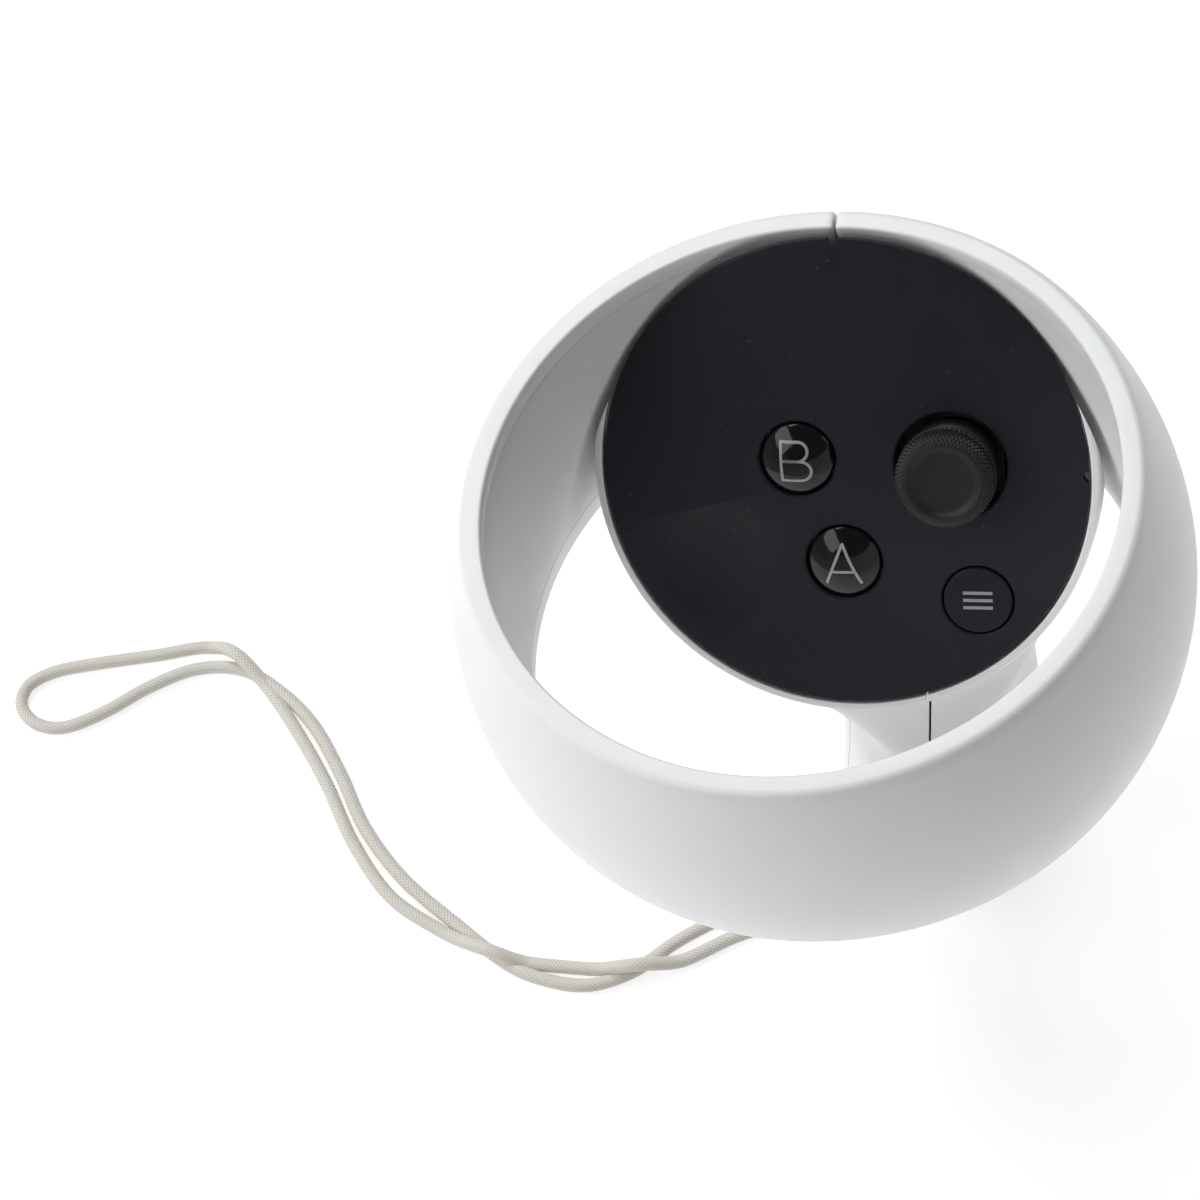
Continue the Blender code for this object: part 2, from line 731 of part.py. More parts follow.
def smooth_through(points, spacing):
    """A smooth curve through the points, read off at an even spacing."""
    dense = []
    last = len(points) - 1
    for i in range(last):
        p0 = Vector(points[max(i - 1, 0)])
        p1 = Vector(points[i])
        p2 = Vector(points[i + 1])
        p3 = Vector(points[min(i + 2, last)])
        for k in range(24):
            t = k / 24
            dense.append(
                0.5
                * (
                    2 * p1
                    + (p2 - p0) * t
                    + (2 * p0 - 5 * p1 + 4 * p2 - p3) * t**2
                    + (3 * p1 - p0 - 3 * p2 + p3) * t**3
                )
            )
    dense.append(Vector(points[last]))
    total = sum((b - a).length for a, b in zip(dense, dense[1:]))
    count = round(total / spacing)
    step = total / count
    even = [dense[0]]
    walked = 0.0
    for a, b in zip(dense, dense[1:]):
        length = (b - a).length
        while len(even) < count and walked + length >= step * len(even):
            share = (step * len(even) - walked) / length
            even.append(a.lerp(b, share))
        walked += length
    even.append(dense[-1])
    return even


# Both strands lie on the ground, each on its own height where the two of them cross.
LOW, OVER = 1.05, 3.2
CORD_ROUTE = (
    (-5.6, 13.3, 4.2), (-9.2, 10.6, 4.2), (-12.8, 7.9, 3.5), (-17.2, 4.7, 1.6),
    (-22.5, 1.4, LOW), (-28.4, -1.3, LOW), (-35.2, -5.3, LOW), (-41.4, -7.3, OVER),
    (-48.7, -7.3, LOW), (-58.0, -6.8, LOW), (-63.8, -6.0, OVER), (-71.9, -2.3, LOW),
    (-81.0, 3.2, LOW), (-88.4, 12.0, LOW), (-94.4, 21.9, LOW), (-100.4, 30.4, LOW),
    (-106.9, 38.4, LOW), (-112.4, 43.2, OVER), (-117.9, 45.5, LOW), (-126.3, 43.9, LOW),
    (-136.0, 42.1, LOW), (-142.4, 40.5, LOW), (-146.4, 37.8, LOW), (-146.6, 34.0, LOW),
    (-143.4, 31.0, LOW), (-138.6, 30.6, LOW), (-132.6, 33.6, LOW), (-126.3, 38.2, LOW),
    (-119.2, 41.6, LOW), (-111.6, 41.6, LOW), (-104.3, 37.5, LOW), (-98.2, 31.9, LOW),
    (-92.4, 23.6, LOW), (-87.0, 14.6, LOW), (-79.5, 6.2, LOW), (-69.8, -1.2, LOW),
    (-61.6, -6.9, LOW), (-55.4, -9.3, LOW), (-48.7, -9.9, LOW), (-42.3, -7.3, LOW),
    (-36.4, -2.2, LOW), (-29.5, 2.4, LOW), (-22.6, 6.4, LOW), (-17.6, 9.9, 1.6),
    (-14.8, 12.2, 3.5), (-12.0, 14.4, 4.2), (-8.4, 17.1, 4.2),
)


def make_cord(finishes):
    out = Vector((*CORD_OUT, 0)).normalized()
    turn = Matrix.Rotation(math.atan2(out.y, out.x), 4, "Z")
    anchor = add_object(
        "lanyard_anchor",
        block((-2.0, -4.4, -1.9), (1.4, 4.4, 2.2)),
        finishes["frame_plastic"],
    )
    anchor.matrix_world = Matrix.Translation(Vector((-5.2, 16.55, CORD_EXIT[2])) * MM) @ turn

    curve = bpy.data.curves.new("wrist_cord", "CURVE")
    curve.dimensions = "3D"
    curve.bevel_depth = CORD_D / 2 * MM
    curve.bevel_resolution = 2
    curve.use_fill_caps = True
    path = smooth_through(CORD_ROUTE, 2.3 * CORD_D)
    spline = curve.splines.new("POLY")
    spline.points.add(len(path) - 1)
    for point, place in zip(spline.points, path):
        place.z = max(place.z, LOW)
        point.co = (*(place * MM), 1.0)
    curve.materials.append(finishes["cord"])
    cord = bpy.data.objects.new("wrist_cord", curve)
    bpy.context.scene.collection.objects.link(cord)


def main():
    clear_scene()
    finishes = make_materials()
    face = frame_empty(
        "face_frame",
        Matrix.Translation(Vector(FACE_CENTRE) * MM) @ Matrix.Rotation(FACE_TILT, 4, "X"),
    )
    up = Vector(HANDLE_UP).normalized()
    across = Vector((1, 0, 0))
    across = (across - across.dot(up) * up).normalized()
    axes = Matrix((across, up.cross(across), up)).transposed().to_4x4()
    handle = frame_empty("handle_frame", Matrix.Translation(Vector(HANDLE_CENTRE) * MM) @ axes)
    make_ring(finishes)
    make_housing(finishes, face, handle)
    make_face_plate(finishes, face)
    make_buttons(finishes, face)
    make_inside(finishes, face)
    make_thumbstick(finishes, face)
    make_trigger(finishes)
    make_handle_parts(finishes, handle)
    make_cord(finishes)


main()
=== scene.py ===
"""Looks of the motion controller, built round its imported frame.

Lengths are in millimetres and MM turns them into Blender's metres. Axes and origin are the
frame's: +Z up along the tracking ring, +Y forward, and the controller stands on its handle.
"""

import json
import math

import bmesh
import bpy
import numpy as np
from mathutils import Matrix, Vector


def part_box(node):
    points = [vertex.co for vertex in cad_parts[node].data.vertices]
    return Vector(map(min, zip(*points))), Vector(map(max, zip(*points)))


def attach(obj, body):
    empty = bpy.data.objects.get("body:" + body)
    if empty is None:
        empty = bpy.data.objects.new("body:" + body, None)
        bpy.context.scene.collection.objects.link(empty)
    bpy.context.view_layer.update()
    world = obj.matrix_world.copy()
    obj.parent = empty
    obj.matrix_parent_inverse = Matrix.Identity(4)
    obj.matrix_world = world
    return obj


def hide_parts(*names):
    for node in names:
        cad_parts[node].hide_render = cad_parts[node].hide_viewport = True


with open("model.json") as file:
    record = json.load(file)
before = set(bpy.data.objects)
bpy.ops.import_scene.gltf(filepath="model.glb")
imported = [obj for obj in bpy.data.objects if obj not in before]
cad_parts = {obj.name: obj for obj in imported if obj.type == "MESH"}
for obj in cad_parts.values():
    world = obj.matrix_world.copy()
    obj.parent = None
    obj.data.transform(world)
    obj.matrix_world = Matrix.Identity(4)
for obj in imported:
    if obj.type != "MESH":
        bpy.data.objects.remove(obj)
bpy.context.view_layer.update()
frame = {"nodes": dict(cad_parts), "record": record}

MM = 0.001
GAP = 0.3
TURN = math.tau

# Tracking ring
RING_LOW, RING_HIGH = (corner.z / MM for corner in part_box("ring_outer_shell"))
BAND_HEIGHT = RING_HIGH - RING_LOW
BAND_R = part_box("ring_outer_shell")[1].x / MM
RIM_INNER_R = 39.0
RIM_OUTER_R = 42.4
BULGE_DROP = 20.0
LOWER_OUTER_R = 43.2
LOWER_INNER_R = 39.5
RING_WALL = 1.6
RING_LIP = 3.0
RING_SEAM = 0.4
LINER_SEAM = 0.07
LINER_THICK = 1.2
RING_STEPS = 288

# Face plate and its controls, in the plate's own plane: x to the right, y towards the rim
FACE_CENTRE = (0.0, 18.2, 95.5)
FACE_TILT = math.radians(52.4)
FACE_R = 31.3
FACE_THICK = 2.0
COLLAR_R = 32.7
COLLAR_DEPTH = 5.0
LEDGE_R = 30.2
FRONT_LIP_Z = 115.6
FACE_SIDE = 0.7
FACE_UNDERCUT = 1.1
FACE_STEPS = 288
NOTCH_R = 0.75
BUTTON_A = (-0.5, -11.9)
BUTTON_B = (-5.9, 2.0)
BUTTON_HOME = (16.6, -16.9)
STICK = (13.8, 1.2)
THUMB_REST = (-16.8, -11.6)
THUMB_REST_R = 7.2
BUTTON_R = 4.75
HOME_R = 4.45
STICK_HOLE_R = 7.2
CAP_R = 6.4
HOLE_PLAY = 0.25
HOLE_CHAMFER = 0.3
RECESS_R = FACE_R + HOLE_PLAY + 0.1
RECESS_DEPTH = FACE_THICK + 0.35
REST_DEPTH = 0.12
FLANGE_TOP, FLANGE_LOW = -2.5, -3.2
STEM_LOW = -4.1
HOME_TOP = -0.05
DOME_TOP, DOME_FALL, DOME_REACH = 1.35, 1.55, 4.6
INK_THICK = 0.02
LETTER_WIDTH = 0.36
BAR_WIDTH = 0.42
BAR_HALF = 1.9
SKIRT_STEPS = 120
SHOULDER_R, SHOULDER_Z, SHOULDER_RISE = 5.1, 4.95, 1.19
KNURL_LINES = 66
KNURL_PITCH = 0.62
KNURL_DEPTH = 0.3
KNURL_INNER_R = 5.05
KNURL_LOW = 3.3
KNURL_FADE = 0.25

# Handle
HANDLE_CENTRE = (3.8, 18.0, 32.0)
HANDLE_UP = (5.1, -7.0, 50.0)
WALL = 2.0
SPLIT = 1.4
DOOR_X, DOOR_HALF_Y, DOOR_TOP = 8.2, 11.2, 22.0
GRIP_X, GRIP_Y, GRIP_Z = -4.0, (-8.5, 9.5), (-2.0, 21.0)
GRIP_PIN = (-7.9, -6.0)
GRIP_PLAY = 0.4
BARREL_R = 2.3
BARREL_LENGTH = 7.0
BARREL_LOWS = (0.0, 12.0)
PIN_BORE_R = 1.0
HEAD_R = 38.6
HEAD_INNER_R = 37.0
SHELL_EDGE = 0.22
# Each section of the housing: x, y, z of its middle, tilt in degrees, half width, half depth.
STATIONS = (
    (0.8, 21.7, 86.0, 48.0, 28.2, 29.6),
    (5.0, 19.7, 76.0, 39.7, 20.0, 25.0),
    (7.6, 17.0, 64.0, 27.0, 12.8, 21.9),
    (7.0, 15.0, 51.5, 16.0, 13.0, 19.8),
    (5.5, 15.3, 37.0, 9.3, 13.6, 18.5),
    (2.4, 17.8, 20.5, 5.0, 13.3, 17.5),
    (0.5, 20.6, 6.5, 2.0, 13.0, 17.1),
    (0.2, 21.0, 1.2, 0.0, 12.8, 17.0),
    (0.0, 21.0, 0.0, 0.0, 12.0, 16.2),
)
TRIGGER_X = 7.5
TRIGGER_HALF = 7.7
TRIGGER_EDGE = 1.5
TRIGGER_PIVOT = (30.5, 77.0)
TRIGGER_BORE_R = 1.32
TRIGGER_SLOT_HALF = 8.2
TRIGGER_SLOT_Y, TRIGGER_SLOT_Z = (25, 60), (54.0, 82.0)
SPRING_NOTCH_HALF = 2.6
# The lever's side view, in y and z.
TRIGGER_OUTLINE = (
    (28.0, 78.6), (29.4, 80.2), (33.5, 80.7), (37.8, 80.4), (40.9, 78.0), (42.4, 74.0),
    (42.7, 69.5), (42.0, 64.5), (40.4, 60.2), (38.4, 57.2), (36.6, 56.6), (35.5, 58.0),
    (36.4, 61.5), (37.3, 66.0), (36.9, 70.0), (34.8, 72.6), (31.0, 73.7), (28.4, 75.0),
)

# Wrist cord
CORD_D = 2.0
CORD_EXIT = (-10.6, 12.5, 4.2)
CORD_OUT = (-0.8, -0.6)
CORD_SPREAD = 2.4
LOW, OVER = 1.05, 3.2
CORD_ROUTE = (
    (-5.6, 13.3, 4.2), (-9.2, 10.6, 4.2), (-12.8, 7.9, 3.5), (-17.2, 4.7, 1.6),
    (-22.5, 1.4, LOW), (-28.4, -1.3, LOW), (-35.2, -5.3, LOW), (-41.4, -7.3, OVER),
    (-48.7, -7.3, LOW), (-58.0, -6.8, LOW), (-63.8, -6.0, OVER), (-71.9, -2.3, LOW),
    (-81.0, 3.2, LOW), (-88.4, 12.0, LOW), (-94.4, 21.9, LOW), (-100.4, 30.4, LOW),
    (-106.9, 38.4, LOW), (-112.4, 43.2, OVER), (-117.9, 45.5, LOW), (-126.3, 43.9, LOW),
    (-136.0, 42.1, LOW), (-142.4, 40.5, LOW), (-146.4, 37.8, LOW), (-146.6, 34.0, LOW),
    (-143.4, 31.0, LOW), (-138.6, 30.6, LOW), (-132.6, 33.6, LOW), (-126.3, 38.2, LOW),
    (-119.2, 41.6, LOW), (-111.6, 41.6, LOW), (-104.3, 37.5, LOW), (-98.2, 31.9, LOW),
    (-92.4, 23.6, LOW), (-87.0, 14.6, LOW), (-79.5, 6.2, LOW), (-69.8, -1.2, LOW),
    (-61.6, -6.9, LOW), (-55.4, -9.3, LOW), (-48.7, -9.9, LOW), (-42.3, -7.3, LOW),
    (-36.4, -2.2, LOW), (-29.5, 2.4, LOW), (-22.6, 6.4, LOW), (-17.6, 9.9, 1.6),
    (-14.8, 12.2, 3.5), (-12.0, 14.4, 4.2), (-8.4, 17.1, 4.2),
)

# Camera
CAMERA_PLACE = (97.47, -264.51, 533.84)
CAMERA_AZIMUTH = math.radians(25.68)
CAMERA_ELEVATION = math.radians(56.31)
CAMERA_ROLL = math.radians(-20.69)
CAMERA_LENS = 124.7
FLOOR_GLOW = 0.64

# Colours
WHITE_COLOUR = (0.80, 0.815, 0.82)
WARM_COLOUR = (0.79, 0.775, 0.74)
MASK_COLOUR = (0.010, 0.085, 0.040)
DUST_COLOUR = (0.05, 0.052, 0.056)
FACE_COLOUR = (0.0145, 0.0158, 0.0205)
REST_COLOUR = (0.0175, 0.0187, 0.0230)


# ---------------------------------------------------------------- camera, light and floor


def make_camera():
    """Turned to an azimuth and an elevation, then rolled about its own line of sight."""
    data = bpy.data.cameras.new("camera")
    data.lens = CAMERA_LENS
    data.sensor_width = 36.0
    data.clip_start = 0.01
    camera = bpy.data.objects.new("camera", data)
    bpy.context.scene.collection.objects.link(camera)
    turn = (
        Matrix.Rotation(CAMERA_AZIMUTH, 4, "Z")
        @ Matrix.Rotation(math.pi / 2 - CAMERA_ELEVATION, 4, "X")
        @ Matrix.Rotation(CAMERA_ROLL, 4, "Z")
    )
    camera.matrix_world = Matrix.Translation(Vector(CAMERA_PLACE) * MM) @ turn
    bpy.context.scene.camera = camera


def area_light(name, place, size, power, colour):
    """A square soft light that faces the middle of the controller."""
    data = bpy.data.lights.new(name, "AREA")
    data.shape = "SQUARE"
    data.size = size
    data.energy = power
    data.color = colour
    light = bpy.data.objects.new(name, data)
    bpy.context.scene.collection.objects.link(light)
    light.location = place
    aim = Vector((0, 0.01, 0.07)) - light.location
    light.rotation_euler = aim.to_track_quat("-Z", "Y").to_euler()


def make_studio():
    area_light("key_light", (-0.84, -0.30, 0.78), 1.15, 10.3, (1.0, 0.99, 0.975))
    area_light("rear_light", (-0.28, 0.72, 1.15), 0.9, 10.5, (0.97, 0.99, 1.0))
    area_light("right_light", (0.95, 0.10, 0.60), 0.6, 0.8, (1.0, 0.90, 0.98))
    bpy.context.scene.view_settings.view_transform = "Standard"
    world = bpy.data.worlds.new("studio")
    world.use_nodes = True
    background = world.node_tree.nodes["Background"]
    background.inputs["Color"].default_value = (0.93, 0.96, 1.0, 1.0)
    background.inputs["Strength"].default_value = 0.10
    bpy.context.scene.world = world

    mesh = bpy.data.meshes.new("floor")
    side = 4.0
    corners = [(-side, -side, 0), (side, -side, 0), (side, side, 0), (-side, side, 0)]
    mesh.from_pydata(corners, [], [(0, 1, 2, 3)])
    floor = bpy.data.objects.new("floor", mesh)
    bpy.context.scene.collection.objects.link(floor)
    finish = bpy.data.materials.new("floor_paint")
    finish.use_nodes = True
    shader = finish.node_tree.nodes["Principled BSDF"]
    shader.inputs["Base Color"].default_value = (0.52, 0.52, 0.52, 1.0)
    shader.inputs["Roughness"].default_value = 0.9
    shader.inputs["Specular IOR Level"].default_value = 0.1
    shader.inputs["Emission Color"].default_value = (1.0, 1.0, 1.0, 1.0)
    shader.inputs["Emission Strength"].default_value = FLOOR_GLOW
    mesh.materials.append(finish)


# ---------------------------------------------------------------- materials


class Finish:
    """A Principled material whose nodes read the piece's own coordinates."""

    def __init__(self, name, colour, roughness, **sockets):
        self.material = bpy.data.materials.new(name)
        self.material.use_nodes = True
        self.tree = self.material.node_tree
        self.shader = self.tree.nodes["Principled BSDF"]
        self.colour = (*colour, 1.0)
        self.shader.inputs["Base Color"].default_value = self.colour
        self.shader.inputs["Roughness"].default_value = roughness
        for socket, value in sockets.items():
            self.shader.inputs[socket.replace("_", " ")].default_value = value
        self.place = self.node("ShaderNodeTexCoord").outputs["Object"]

    def node(self, kind, **settings):
        made = self.tree.nodes.new(kind)
        for key, value in settings.items():
            setattr(made, key, value)
        return made

    def link(self, output, target):
        self.tree.links.new(output, target)

    def noise(self, size, detail=3.0, stretch=(1.0, 1.0, 1.0)):
        """Noise whose features are about size millimetres across."""
        stretched = self.node("ShaderNodeMapping")
        stretched.inputs["Scale"].default_value = [s / (size * MM) for s in stretch]
        self.link(self.place, stretched.inputs["Vector"])
        texture = self.node("ShaderNodeTexNoise")
        texture.inputs["Scale"].default_value = 1.0
        texture.inputs["Detail"].default_value = detail
        self.link(stretched.outputs["Vector"], texture.inputs["Vector"])
        return texture.outputs["Fac"]

    def ranged(self, value, low, high, start=0.3, end=0.7):
        """The value's start to end, mapped to low to high."""
        mapped = self.node("ShaderNodeMapRange")
        for socket, number in (
            ("From Min", start), ("From Max", end), ("To Min", low), ("To Max", high)
        ):
            mapped.inputs[socket].default_value = number
        self.link(value, mapped.inputs["Value"])
        return mapped.outputs["Result"]

    def mixed(self, factor, first, second):
        """A colour between two, each a colour or another node's output."""
        mix = self.node("ShaderNodeMix", data_type="RGBA")
        self.link(factor, mix.inputs["Factor"])
        for socket, colour in ((mix.inputs["A"], first), (mix.inputs["B"], second)):
            if isinstance(colour, bpy.types.NodeSocket):
                self.link(colour, socket)
            else:
                socket.default_value = (*colour[:3], 1.0)
        return mix.outputs["Result"]

    def colour_from(self, output):
        self.link(output, self.shader.inputs["Base Color"])
        return self

    def roughness_from(self, output):
        self.link(output, self.shader.inputs["Roughness"])
        return self

    def bump(self, height, depth, strength=1.0, after=None):
        """Bump of a depth in millimetres, chained after an earlier bump if there is one."""
        made = self.node("ShaderNodeBump")
        made.inputs["Strength"].default_value = strength
        made.inputs["Distance"].default_value = depth * MM
        self.link(height, made.inputs["Height"])
        if after:
            self.link(after, made.inputs["Normal"])
        self.link(made.outputs["Normal"], self.shader.inputs["Normal"])
        return made.outputs["Normal"]

    def vary(self, size, amount):
        """Mottles the base colour a little, darker by amount at most."""
        darker = [c * (1.0 - amount) for c in self.colour[:3]]
        cloud = self.ranged(self.noise(size), 0.0, 1.0)
        return self.colour_from(self.mixed(cloud, self.colour, darker))

    def circle(self, centre, radius, soft):
        """One inside a circle about the piece's own z, and nought outside it."""
        parts = self.node("ShaderNodeSeparateXYZ")
        self.link(self.place, parts.inputs["Vector"])
        flat = self.node("ShaderNodeCombineXYZ")
        self.link(parts.outputs["X"], flat.inputs["X"])
        self.link(parts.outputs["Y"], flat.inputs["Y"])
        away = self.node("ShaderNodeVectorMath", operation="DISTANCE")
        self.link(flat.outputs["Vector"], away.inputs[0])
        away.inputs[1].default_value = (centre[0] * MM, centre[1] * MM, 0.0)
        return self.ranged(
            away.outputs["Value"], 1.0, 0.0, (radius - soft) * MM, (radius + soft) * MM
        )


def moulded(name, colour, roughness, grain=0.22, depth=0.006, mottle=0.03, **sockets):
    """Moulded plastic: a spark-eroded grain, faint cloudiness and slightly uneven gloss."""
    finish = Finish(name, colour, roughness, **sockets)
    finish.vary(14.0, mottle)
    finish.roughness_from(finish.ranged(finish.noise(6.0), roughness - 0.05, roughness + 0.06))
    finish.bump(finish.noise(grain, 2.0), depth)
    return finish


def make_white():
    """Satin white plastic, a little yellowed in patches, as handled plastic is."""
    finish = moulded(
        "white_shell", WHITE_COLOUR, 0.42, grain=0.25, depth=0.005, Coat_Weight=0.08
    )
    finish.shader.inputs["Coat Roughness"].default_value = 0.3
    patches = finish.ranged(finish.noise(30.0), 0.0, 0.35)
    return finish.colour_from(finish.mixed(patches, WHITE_COLOUR, WARM_COLOUR)).material


def make_face_black():
    """Soft-touch black with a few specks of dust, and a slightly paler thumb rest."""
    finish = moulded(
        "face_black", FACE_COLOUR, 0.46, grain=0.16, depth=0.004, Specular_IOR_Level=0.2
    )
    rest = finish.circle(THUMB_REST, THUMB_REST_R, 0.05)
    dust = finish.ranged(finish.noise(0.9, 1.0), 0.0, 1.0, 0.74, 0.80)
    pale = finish.mixed(rest, FACE_COLOUR, REST_COLOUR)
    finish.colour_from(finish.mixed(dust, pale, DUST_COLOUR))
    finish.roughness_from(finish.ranged(finish.noise(5.0), 0.42, 0.52))
    return finish.material


def make_home_black():
    return moulded(
        "home_black", (0.0120, 0.0132, 0.0170), 0.42, grain=0.16, depth=0.003, mottle=0.10,
        Specular_IOR_Level=0.2,
    ).material


def make_button_gloss():
    """Polished black, with faint smears in its gloss."""
    finish = Finish("button_gloss", (0.006, 0.006, 0.0075), 0.07, Specular_IOR_Level=0.36)
    finish.vary(3.0, 0.25)
    finish.roughness_from(finish.ranged(finish.noise(2.2), 0.05, 0.13))
    return finish.material


def make_letter_ink():
    finish = Finish("letter_ink", (0.33, 0.34, 0.36), 0.35)
    finish.vary(0.4, 0.12)
    return finish.material


def make_rubber():
    return moulded(
        "stick_rubber", (0.0100, 0.0103, 0.0115), 0.50, grain=0.14, depth=0.006, mottle=0.2,
        Specular_IOR_Level=0.36,
    ).material


def make_braid():
    """Woven thread: each pick is fibres along its own direction, off-white, with painted shade in
    the hollows between picks.
    """
    finish = Finish("cord_braid", (0.72, 0.70, 0.645), 0.85)
    finish.shader.inputs["Sheen Weight"].default_value = 0.35
    finish.shader.inputs["Sheen Roughness"].default_value = 0.5
    height = finish.node("ShaderNodeAttribute", attribute_name="pick_height").outputs["Fac"]
    # Painted shade: by pick height, the hollows between picks are darkened and the raised picks
    # kept pale.
    painted_pick_shade = finish.mixed(
        finish.ranged(height, 0.0, 1.0, 0.25, 0.85), (0.34, 0.325, 0.285), (0.76, 0.745, 0.69)
    )
    stain = finish.ranged(finish.noise(18.0), 0.0, 0.55)
    finish.colour_from(finish.mixed(stain, painted_pick_shade, (0.66, 0.62, 0.53)))
    finish.bump(finish.noise(0.07, 2.0), 0.02, 0.8)
    return finish.material


def make_steel():
    finish = Finish("steel", (0.56, 0.57, 0.58), 0.30, Metallic=1.0)
    finish.roughness_from(finish.ranged(finish.noise(1.0, 3.0, (1, 12, 1)), 0.22, 0.42))
    finish.vary(2.0, 0.12)
    return finish.material


def make_circuit():
    """Green solder mask over copper tracks."""
    finish = Finish("circuit", MASK_COLOUR, 0.34)
    tracks = finish.node("ShaderNodeTexVoronoi", feature="DISTANCE_TO_EDGE")
    stretched = finish.node("ShaderNodeMapping")
    stretched.inputs["Scale"].default_value = (520.0, 520.0, 520.0)
    finish.link(finish.place, stretched.inputs["Vector"])
    finish.link(stretched.outputs["Vector"], tracks.inputs["Vector"])
    tracks.inputs["Scale"].default_value = 1.0
    edge = finish.ranged(tracks.outputs["Distance"], 1.0, 0.0, 0.04, 0.09)
    finish.colour_from(finish.mixed(edge, MASK_COLOUR, (0.03, 0.16, 0.07)))
    finish.bump(edge, 0.03)
    return finish.material


def make_battery_can():
    """A printed metal can, faintly mottled and unevenly glossy."""
    finish = Finish("battery_can", (0.30, 0.32, 0.36), 0.28, Metallic=0.7)
    finish.vary(4.0, 0.2)
    finish.roughness_from(finish.ranged(finish.noise(2.5), 0.22, 0.36))
    return finish.material


def make_materials():
    return {
        "white_shell": make_white(),
        "ring_inner": moulded(
            "ring_inner", (0.72, 0.73, 0.735), 0.5, grain=0.25, depth=0.005
        ).material,
        "face_black": make_face_black(),
        "home_black": make_home_black(),
        "button_gloss": make_button_gloss(),
        "letter_ink": make_letter_ink(),
        "stick_rubber": make_rubber(),
        "cord_braid": make_braid(),
        "silicone": moulded(
            "silicone", (0.30, 0.31, 0.32), 0.6, grain=0.3, depth=0.01
        ).material,
        "frame_plastic": moulded(
            "frame_plastic", (0.035, 0.035, 0.04), 0.5, grain=0.2, depth=0.01
        ).material,
        "steel": make_steel(),
        "circuit": make_circuit(),
        "led_lens": moulded(
            "led_lens", (0.05, 0.03, 0.05), 0.15, grain=0.5, depth=0.002
        ).material,
        "battery_can": make_battery_can(),
    }


# ---------------------------------------------------------------- mesh tools


def add_piece(name, bm, finish, body, replaced=(), matrix=None, sharp=40.0):
    """Turns a mesh in millimetres into a shown piece that rides on a body."""
    bmesh.ops.scale(bm, vec=(MM, MM, MM), verts=bm.verts)
    bmesh.ops.recalc_face_normals(bm, faces=bm.faces)
    mesh = bpy.data.meshes.new(name)
    bm.to_mesh(mesh)
    bm.free()
    return finish_piece(name, mesh, finish, body, replaced, matrix, sharp)


def finish_piece(name, mesh, finish, body, replaced=(), matrix=None, sharp=40.0):
    """Shows a mesh in metres, shaded smooth up to the sharp angle in degrees."""
    made = bpy.data.objects.new(name, mesh)
    bpy.context.scene.collection.objects.link(made)
    if matrix is not None:
        made.matrix_world = matrix
    mesh.materials.clear()
    mesh.materials.append(finish)
    mesh.shade_smooth()
    mesh.set_sharp_from_angle(angle=math.radians(sharp))
    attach(made, body)
    if replaced:
        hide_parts(*replaced)
    return made


def bridge(bm, rings, closed_along=False):
    """Faces between each ring of vertices and the next one."""
    pairs = list(zip(rings, rings[1:]))
    if closed_along:
        pairs.append((rings[-1], rings[0]))
    for lower, upper in pairs:
        count = len(lower)
        for i in range(count):
            j = (i + 1) % count
            bm.faces.new((lower[i], lower[j], upper[j], upper[i]))


def rounded(points, radius, steps, closed=False):
    """A flat polyline with each of its corners turned into an arc-like curve.

    radius is one number, or one for each point; each is held to under half of its sides.
    """
    points = [Vector(p) for p in points]
    count = len(points)
    radii = [radius] * count if isinstance(radius, (int, float)) else radius
    made = []
    for i, corner in enumerate(points):
        if not closed and i in (0, count - 1):
            made.append(corner)
            continue
        before = points[i - 1] - corner
        after = points[(i + 1) % count] - corner
        reach = min(radii[i], 0.45 * before.length, 0.45 * after.length)
        if reach < 1e-6:
            made.append(corner)
            continue
        start = corner + before.normalized() * reach
        end = corner + after.normalized() * reach
        for k in range(steps + 1):
            t = k / steps
            made.append(start * (1 - t) ** 2 + corner * (2 * t * (1 - t)) + end * t**2)
    return made


def lathe(profile, steps, centre=(0.0, 0.0), radius_at=None):
    """A solid turned about z from (radius, z) points that start and end on the axis."""
    bm = bmesh.new()
    rings = []
    for radius, z in profile[1:-1]:
        ring = []
        for k in range(steps):
            angle = TURN * k / steps
            r = radius + (radius_at(radius, z, angle) if radius_at else 0.0)
            x = centre[0] + r * math.cos(angle)
            y = centre[1] + r * math.sin(angle)
            ring.append(bm.verts.new((x, y, z)))
        rings.append(ring)
    bridge(bm, rings)
    for end, ring in ((profile[0], rings[0]), (profile[-1], rings[-1])):
        tip = bm.verts.new((centre[0], centre[1], end[1]))
        for i in range(steps):
            bm.faces.new((ring[i], ring[(i + 1) % steps], tip))
    return bm


def extruded(outline, low, high):
    """A flat outline made solid between two heights."""
    bm = bmesh.new()
    bottom = [bm.verts.new((p[0], p[1], low)) for p in outline]
    top = [bm.verts.new((p[0], p[1], high)) for p in outline]
    bridge(bm, [bottom, top])
    bm.faces.new(bottom)
    bm.faces.new(top)
    return bm


def circle(radius, steps, centre=(0.0, 0.0)):
    return [
        (
            centre[0] + radius * math.cos(TURN * k / steps),
            centre[1] + radius * math.sin(TURN * k / steps),
        )
        for k in range(steps)
    ]


def block(low, high):
    outline = ((low[0], low[1]), (high[0], low[1]), (high[0], high[1]), (low[0], high[1]))
    return extruded(outline, low[2], high[2])


def cutter(bm, matrix=None):
    """A mesh in millimetres as a hidden object that a Boolean can use."""
    bmesh.ops.scale(bm, vec=(MM, MM, MM), verts=bm.verts)
    bmesh.ops.recalc_face_normals(bm, faces=bm.faces)
    mesh = bpy.data.meshes.new("cutter")
    bm.to_mesh(mesh)
    bm.free()
    made = bpy.data.objects.new("cutter", mesh)
    bpy.context.scene.collection.objects.link(made)
    if matrix is not None:
        made.matrix_world = matrix
    return made


